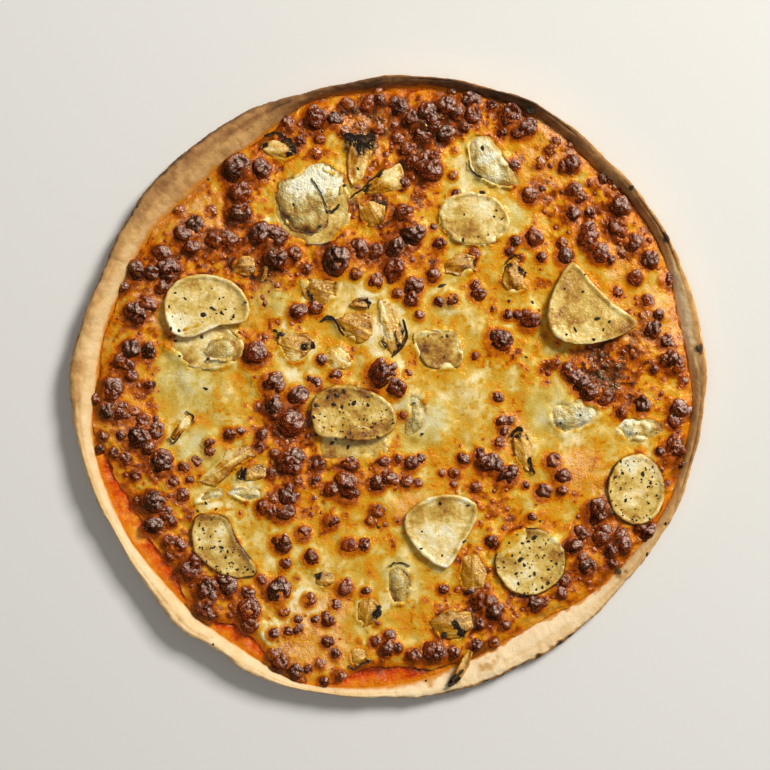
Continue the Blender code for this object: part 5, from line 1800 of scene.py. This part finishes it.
HERBS = (
    (-92, 36, 3.2, 2.4), (-87, 39, 3.4, 1), (-83, 37, 2, 1.4), (-77, 35, 3, 1.2), (-108, 29, 2.2, 1.2),
    (-104, 28, 1.8, 1.4), (-106, 47, 1.6, 1), (-109, 40, 1.8, 1), (-84, 44, 1.2, 0.8), (-101, 44, 2, 0.8),
    (-71, 42, 1.8, 0.8), (-74.5, 27, 2, 1.6), (-93, 25, 2, 1.4), (-104, 15.5, 1.6, 1), (-106, 23, 1.6, 1.2),
    (-90, 14, 1.8, 1.2), (-27, -9, 3, 1.8), (-23, -10, 2.6, 1.4), (-36, -9, 2.2, 1.6), (-37, -15, 2.2, 1.4),
    (-17, -8, 3, 2), (-10, -9, 2, 1.4), (-10, -5, 1.6, 1), (-22, -2, 2.4, 1.2), (-30, -5, 2.6, 1.4),
    (-26, -4, 2.4, 1.8), (-28, -28, 2.4, 1.6), (-26, -26, 1.6, 1), (-21, -25, 1.6, 1.2),
    (-20, -30, 2.2, 1.4), (-5, -25, 2.2, 1.2), (2.5, -18, 1.8, 1), (-32, -20, 1.4, 0.8), (-36, -24, 2, 1),
    (-8, -20, 2, 1), (-12, -16, 1.4, 0.8), (-83, -80, 2.4, 1.4), (-80, -82, 1.8, 1), (-81, -85, 1.8, 1.2),
    (-75, -91, 1.6, 1), (-70, -91, 1.6, 1.2), (-67, -92, 1.4, 1), (-80, -93, 1.4, 0.9), (-94, -80, 1.4, 1),
    (-94, -76, 1.2, 0.8), (-86, -72, 1, 0.8), (26, -58, 2, 1.2), (40, -59, 1.8, 1), (17, -72, 1.2, 0.8),
    (16.5, -80.5, 2, 1), (27, -84, 1.4, 1), (38, -77, 2.4, 1.1), (73, -75, 3, 2), (70, -77, 2, 1.2),
    (66, -86, 3, 2), (68, -89, 1.8, 1.4), (67, -78, 1.8, 1.2), (64, -93, 2, 1.2), (73, -93, 2.2, 1.4),
    (80, -91, 1.8, 1.2), (84, -88, 1.8, 1), (65, -98, 2, 1.2), (80, -98, 2.8, 1.8), (77, -100, 2.2, 1.2),
    (68, -103, 1.6, 1), (74, -101, 1.6, 1.1), (78, -84, 1.4, 1), (62, -84, 1.6, 1), (76, -80, 1.2, 0.8),
    (58, -90, 1.4, 0.8), (127, -43.5, 3, 2), (117, -43, 1.8, 1.4), (113, -45, 2, 1), (131, -48, 1.8, 1),
    (118.5, -56.5, 2.2, 1.4), (111, -52, 1.8, 0.8), (134, -54, 1.4, 1), (116, -37, 2, 1),
    (130, -58, 1.4, 1), (122, -66, 1.2, 0.9), (47, 97, 3.2, 1.8), (53, 85, 1.4, 1), (54, 88, 1.2, 1),
    (57, 84, 2.2, 0.7), (37.5, 73.5, 2.4, 1.2), (45, 75, 1.2, 0.8), (38, 86, 1.2, 0.9),
    (29.5, 25.5, 1.8, 1.3), (27, 25, 1.2, 0.8), (28, 15, 1.2, 1), (20, 25.5, 1, 0.8), (104, 34, 3.2, 1.8),
    (110, 32.5, 1.8, 1.4), (107, 28.5, 2, 1), (93, 28.5, 3.4, 1), (88.5, 26, 1.8, 1.2), (102, 23.5, 2, 1.4),
    (97, 47.5, 1.6, 1.2), (88, 49, 1.4, 1), (98, 56, 1.2, 0.8), (47, 119, 3, 1.8), (27, 51, 4.6, 1.8),
    (-4.5, -113, 3.6, 2.6), (-35.5, -94, 2.2, 1.8), (60.5, 43, 1.6, 1.6), (72, 42, 2.4, 1.8),
    (69, 15, 1.8, 0.8), (136, 31, 2, 1.4), (-22, 100.5, 2.2, 1.6), (28, -124, 2.8, 2),
    (-10, -137, 2.4, 1.6), (41, -102, 2.4, 1.4), (66, -70, 1.8, 1), (76, -67, 1.6, 1), (-91, -58, 2.2, 1),
    (-86, -61, 1.8, 1), (-95, -62, 2, 1), (-88, -66, 1.6, 0.8), (50, 76, 1, 0.8), (96, -14, 1.4, 1),
    (86, -18, 1.6, 1.2), (124, -23, 1, 0.8), (-91, -1, 3, 1.3), (17, -23.5, 1.8, 1.2), (13, -8, 2, 0.7),
    (-5, -70, 2.4, 1.2), (-15, 109, 2, 1), (-47, 91, 1.6, 1), (-34, 80, 2, 1.6), (-57, 103, 1.2, 0.8),
    (71, 138.5, 4.6, 3.6), (121, 99.2, 3.0, 2.2), (154.5, 19, 3.6, 1.8), (116, -92.3, 4.4, 1.8),
    (129.3, -83.6, 2.4, 1.0), (138.6, -68.2, 1.8, 1.2), (-90, 104, 1.4, 1.2), (-87, -128, 1.2, 1),
    (19, -147, 1.4, 1), (-144, -31, 2.4, 1.6),
)
FLAKE_LIFT = 0.1


def make_flake_shape():
    start_clean()
    bpy.ops.mesh.primitive_ico_sphere_add(subdivisions=2, radius=1)
    piece = bpy.context.object
    points = points_of(piece) * MM
    crumpled = points * (1 + layered(points, (0.7, 101, 0.9)))[:, None]
    crumpled[:, 2] = crumpled[:, 2] * 0.5 + layered(points * (1, 1, 0), (0.6, 102, 0.5))
    move_points(piece, crumpled / MM)
    return piece


def scatter_flakes(name, flakes, thickness, seed):
    """Copies of the flake laid on the surface as one piece; a flake is (x, y, length, width)."""
    shape = make_flake_shape()
    unit = points_of(shape) * MM
    chance = np.random.default_rng(seed)
    pieces = []
    for x, y, length, width in flakes:
        turn = chance.random() * math.pi
        size = unit * (length / 2, width / 2, thickness)
        size[:, 2] += 0.25 * length * (cloud(unit, 1.1, int(chance.integers(50))) - 0.5)
        points = np.stack([*turned(size[:, 0], size[:, 1], turn), size[:, 2]], axis=1)
        pieces.append(twin(shape, "flake"))
        move_under(pieces[-1], points + (x, y, top_at(x, y) + FLAKE_LIFT))
    bpy.data.objects.remove(shape)
    piece = join(name, pieces)
    shade_smooth(piece, degrees=40)
    settle(piece, HERB, "onion")


def make_crisp_material(name, roughness, coat, base, skin, depth, stops):
    """Something dried or burnt: one value broken up into mottles, on a rough skin."""
    material, tree, shader = new_material(name, roughness, coat=coat)
    colour = ramp(tree, mottled(tree, **base), stops)
    dress(tree, shader, colour, use(tree, SKIN, **skin), depth)
    return material


DUST_TRIES, DUST_MARGIN = 150, 1.2
DUSTED = {"02": 64, "04": 60, "05": 64, "08": 16, "09": 44}


def dust_places():
    """Fine herb dust: seeded places on the upper potato slices."""
    chance = np.random.default_rng(8)
    flakes = []
    for number, count in DUSTED.items():
        outline = OUTLINES[f"potato_slice_{number}"]
        low, high = outline.min(axis=0), outline.max(axis=0)
        spots = low + (high - low) * chance.random((DUST_TRIES, 2))
        inside = distance_to(outline, spots[:, 0], spots[:, 1]) < -DUST_MARGIN
        for x, y in spots[inside][:count]:
            size = 0.6 + 0.9 * chance.random() ** 1.5
            flakes.append((x, y, size, 0.6 * size))
    return flakes


HERB = make_crisp_material(
    "dried herb", roughness=0.62, coat=0.1,
    base={"value": 0.4, "coarse": 0.5, "fine": 0.9, "shift": 2.0},
    skin={"Lumps": 0.2, "Wrinkles": 0.6, "Pits": 0.2}, depth=0.2,
    stops=((0.0, (18, 16, 12)), (0.45, (44, 36, 20)), (0.75, (88, 66, 32)), (1.0, (140, 108, 56))))
scatter_flakes("herbs", HERBS, thickness=0.45, seed=3)
scatter_flakes("herb_dust", dust_places(), thickness=0.25, seed=4)

# %% [markdown]
# The thin edges of the onion burnt to black curls. Each is a ribbon: a flat grid is bent along a
# few points, one long edge is lifted, and Solidify gives it the thickness of burnt skin.

# %% Burnt curls of onion
CURLS = (
    (((-34, 32.5), (-30.5, 35), (-27, 33), (-22, 25.5)), 2.4),
    (((7.5, 34), (9, 28), (7.6, 21), (2, 15.5)), 1.8),
    (((61.5, -25), (64, -21.5), (67.5, -22)), 3.0), (((70.6, -35), (71, -39), (73.2, -43.5)), 1.5),
    (((58.6, 61.4), (62, 64.4), (65, 65.7)), 1.2), (((65, 60), (67.4, 58), (68.6, 55)), 1.3),
    (((-18.5, 94.5), (-13.5, 98.5), (-9.5, 102.5), (-2, 108.5)), 1.8),
    (((-57.5, 28.5), (-55, 27), (-54.5, 24)), 2.2),
    (((-21.6, 125), (-21, 120), (-20, 116)), 1.2), (((-21.8, 125.2), (-14, 124.4), (-6.2, 124.6)), 4.5),
    (((-10.5, 44.5), (-9.2, 42), (-9.8, 39)), 1.1), (((-51.5, 125.5), (-48, 121.5), (-45.8, 116.5)), 2.4),
    (((-62, 125.5), (-57, 126.5), (-52, 125)), 2.2), (((-109.5, -25), (-107.5, -28), (-103, -23.5)), 0.9),
    (((-101, -12.3), (-98, -13.6), (-96.8, -18)), 1.0), (((-72.6, -39.8), (-75, -44), (-72.5, -46.6)), 2.0),
    (((32, -118), (35.5, -121), (38.5, -125)), 2.2), (((-40, 48.5), (-38.8, 45), (-36.6, 42.8)), 2.0),
    (((29.8, -149.4), (33, -146.8), (37.5, -141)), 2.6), (((0.5, -89.6), (5, -88.2), (11, -89.4)), 0.9),
    (((-38.2, 104), (-34, 98), (-30.5, 89)), 0.9), (((-31, 88), (-28, 87), (-24, 91)), 1.6),
    (((40, 113), (42.5, 107.5), (47, 104)), 1.0), (((-2.6, 24), (-1.6, 19)), 1.1),
    (((-20, -139), (-17, -141), (-12, -137.5), (-8.5, -136.5)), 1.4),
    (((3.5, 28), (5.5, 22), (4.5, 17)), 1.0),
)
CURL_THICK = 0.3
CURL_WIDTH = 0.66
CURL_ROWS = 3
LEAST_STEPS, STEPS_PER_POINT = 10, 8
WIDE_CURL, WIDE_LIFT, THIN_LIFT = 3, 1.8, 0.9
LOOK_AHEAD = 0.05


def make_curl(path, width):
    """A burnt ribbon along a few points, (x, y), this wide in its middle."""
    path = np.array(path, float)
    lift = THIN_LIFT if width < WIDE_CURL else WIDE_LIFT
    start_clean()
    bpy.ops.mesh.primitive_grid_add(
        x_subdivisions=max(LEAST_STEPS, STEPS_PER_POINT * len(path)), y_subdivisions=CURL_ROWS, size=1)
    piece = bpy.context.object
    share, side, _ = (points_of(piece) * MM + 0.5).T
    end = len(path) - 1
    place = share * end
    spot = between(path, place, closed=False)
    ahead = between(path, np.minimum(place + LOOK_AHEAD, end), closed=False)
    behind = between(path, np.maximum(place - LOOK_AHEAD, 0), closed=False)
    way = (ahead - behind) / np.linalg.norm(ahead - behind, axis=1)[:, None]
    first_x, first_y = path[0]
    across = (side - 0.5) * CURL_WIDTH * width * np.sqrt(np.clip(1.15 - (2 * share - 1) ** 2, 0.05, 1))
    across *= 0.35 + 1.3 * cloud(flat(share * 9 + first_x, first_y + 0 * place), 1.6, 103)
    kinks = layered(flat(place * 4.3 + first_x, first_y + 0 * place), (1.3, 105, 2.4))
    across += kinks * smooth(share * 6) * smooth((1 - share) * 6)
    x, y = spot[:, 0] - way[:, 1] * across, spot[:, 1] + way[:, 0] * across
    ground = np.array([top_at(*middle, reach=1.0) for middle in spot])
    rise = lift * side ** 1.5 + 0.7 * (cloud(flat(x, y), 2.4, 104) - 0.4)
    points = np.stack([x, y, ground + 0.15 + np.maximum(rise, 0)], axis=1)
    move_under(piece, points, TOP_LIMIT - CURL_THICK)
    apply_modifier(piece, "SOLIDIFY", thickness=CURL_THICK * MM, offset=-1)
    return piece


burnt_curls = join("onion_burnt_curls", [make_curl(path, width) for path, width in CURLS])
edit(burnt_curls, (bpy.ops.mesh.normals_make_consistent, {"inside": False}))
shade_smooth(burnt_curls, degrees=60)
BURNT = make_crisp_material(
    "burnt onion", roughness=0.4, coat=0.4,
    base={"value": 0.34, "coarse": 0.8, "fine": 0.9, "shift": 4.0},
    skin={"Lumps": 0.4, "Wrinkles": 0.7, "Pits": 0.3}, depth=0.3,
    stops=((0.0, (26, 20, 16)), (0.32, (52, 38, 28)), (0.55, (104, 70, 36)), (1.0, (176, 128, 64))))
settle(burnt_curls, BURNT, "onion")
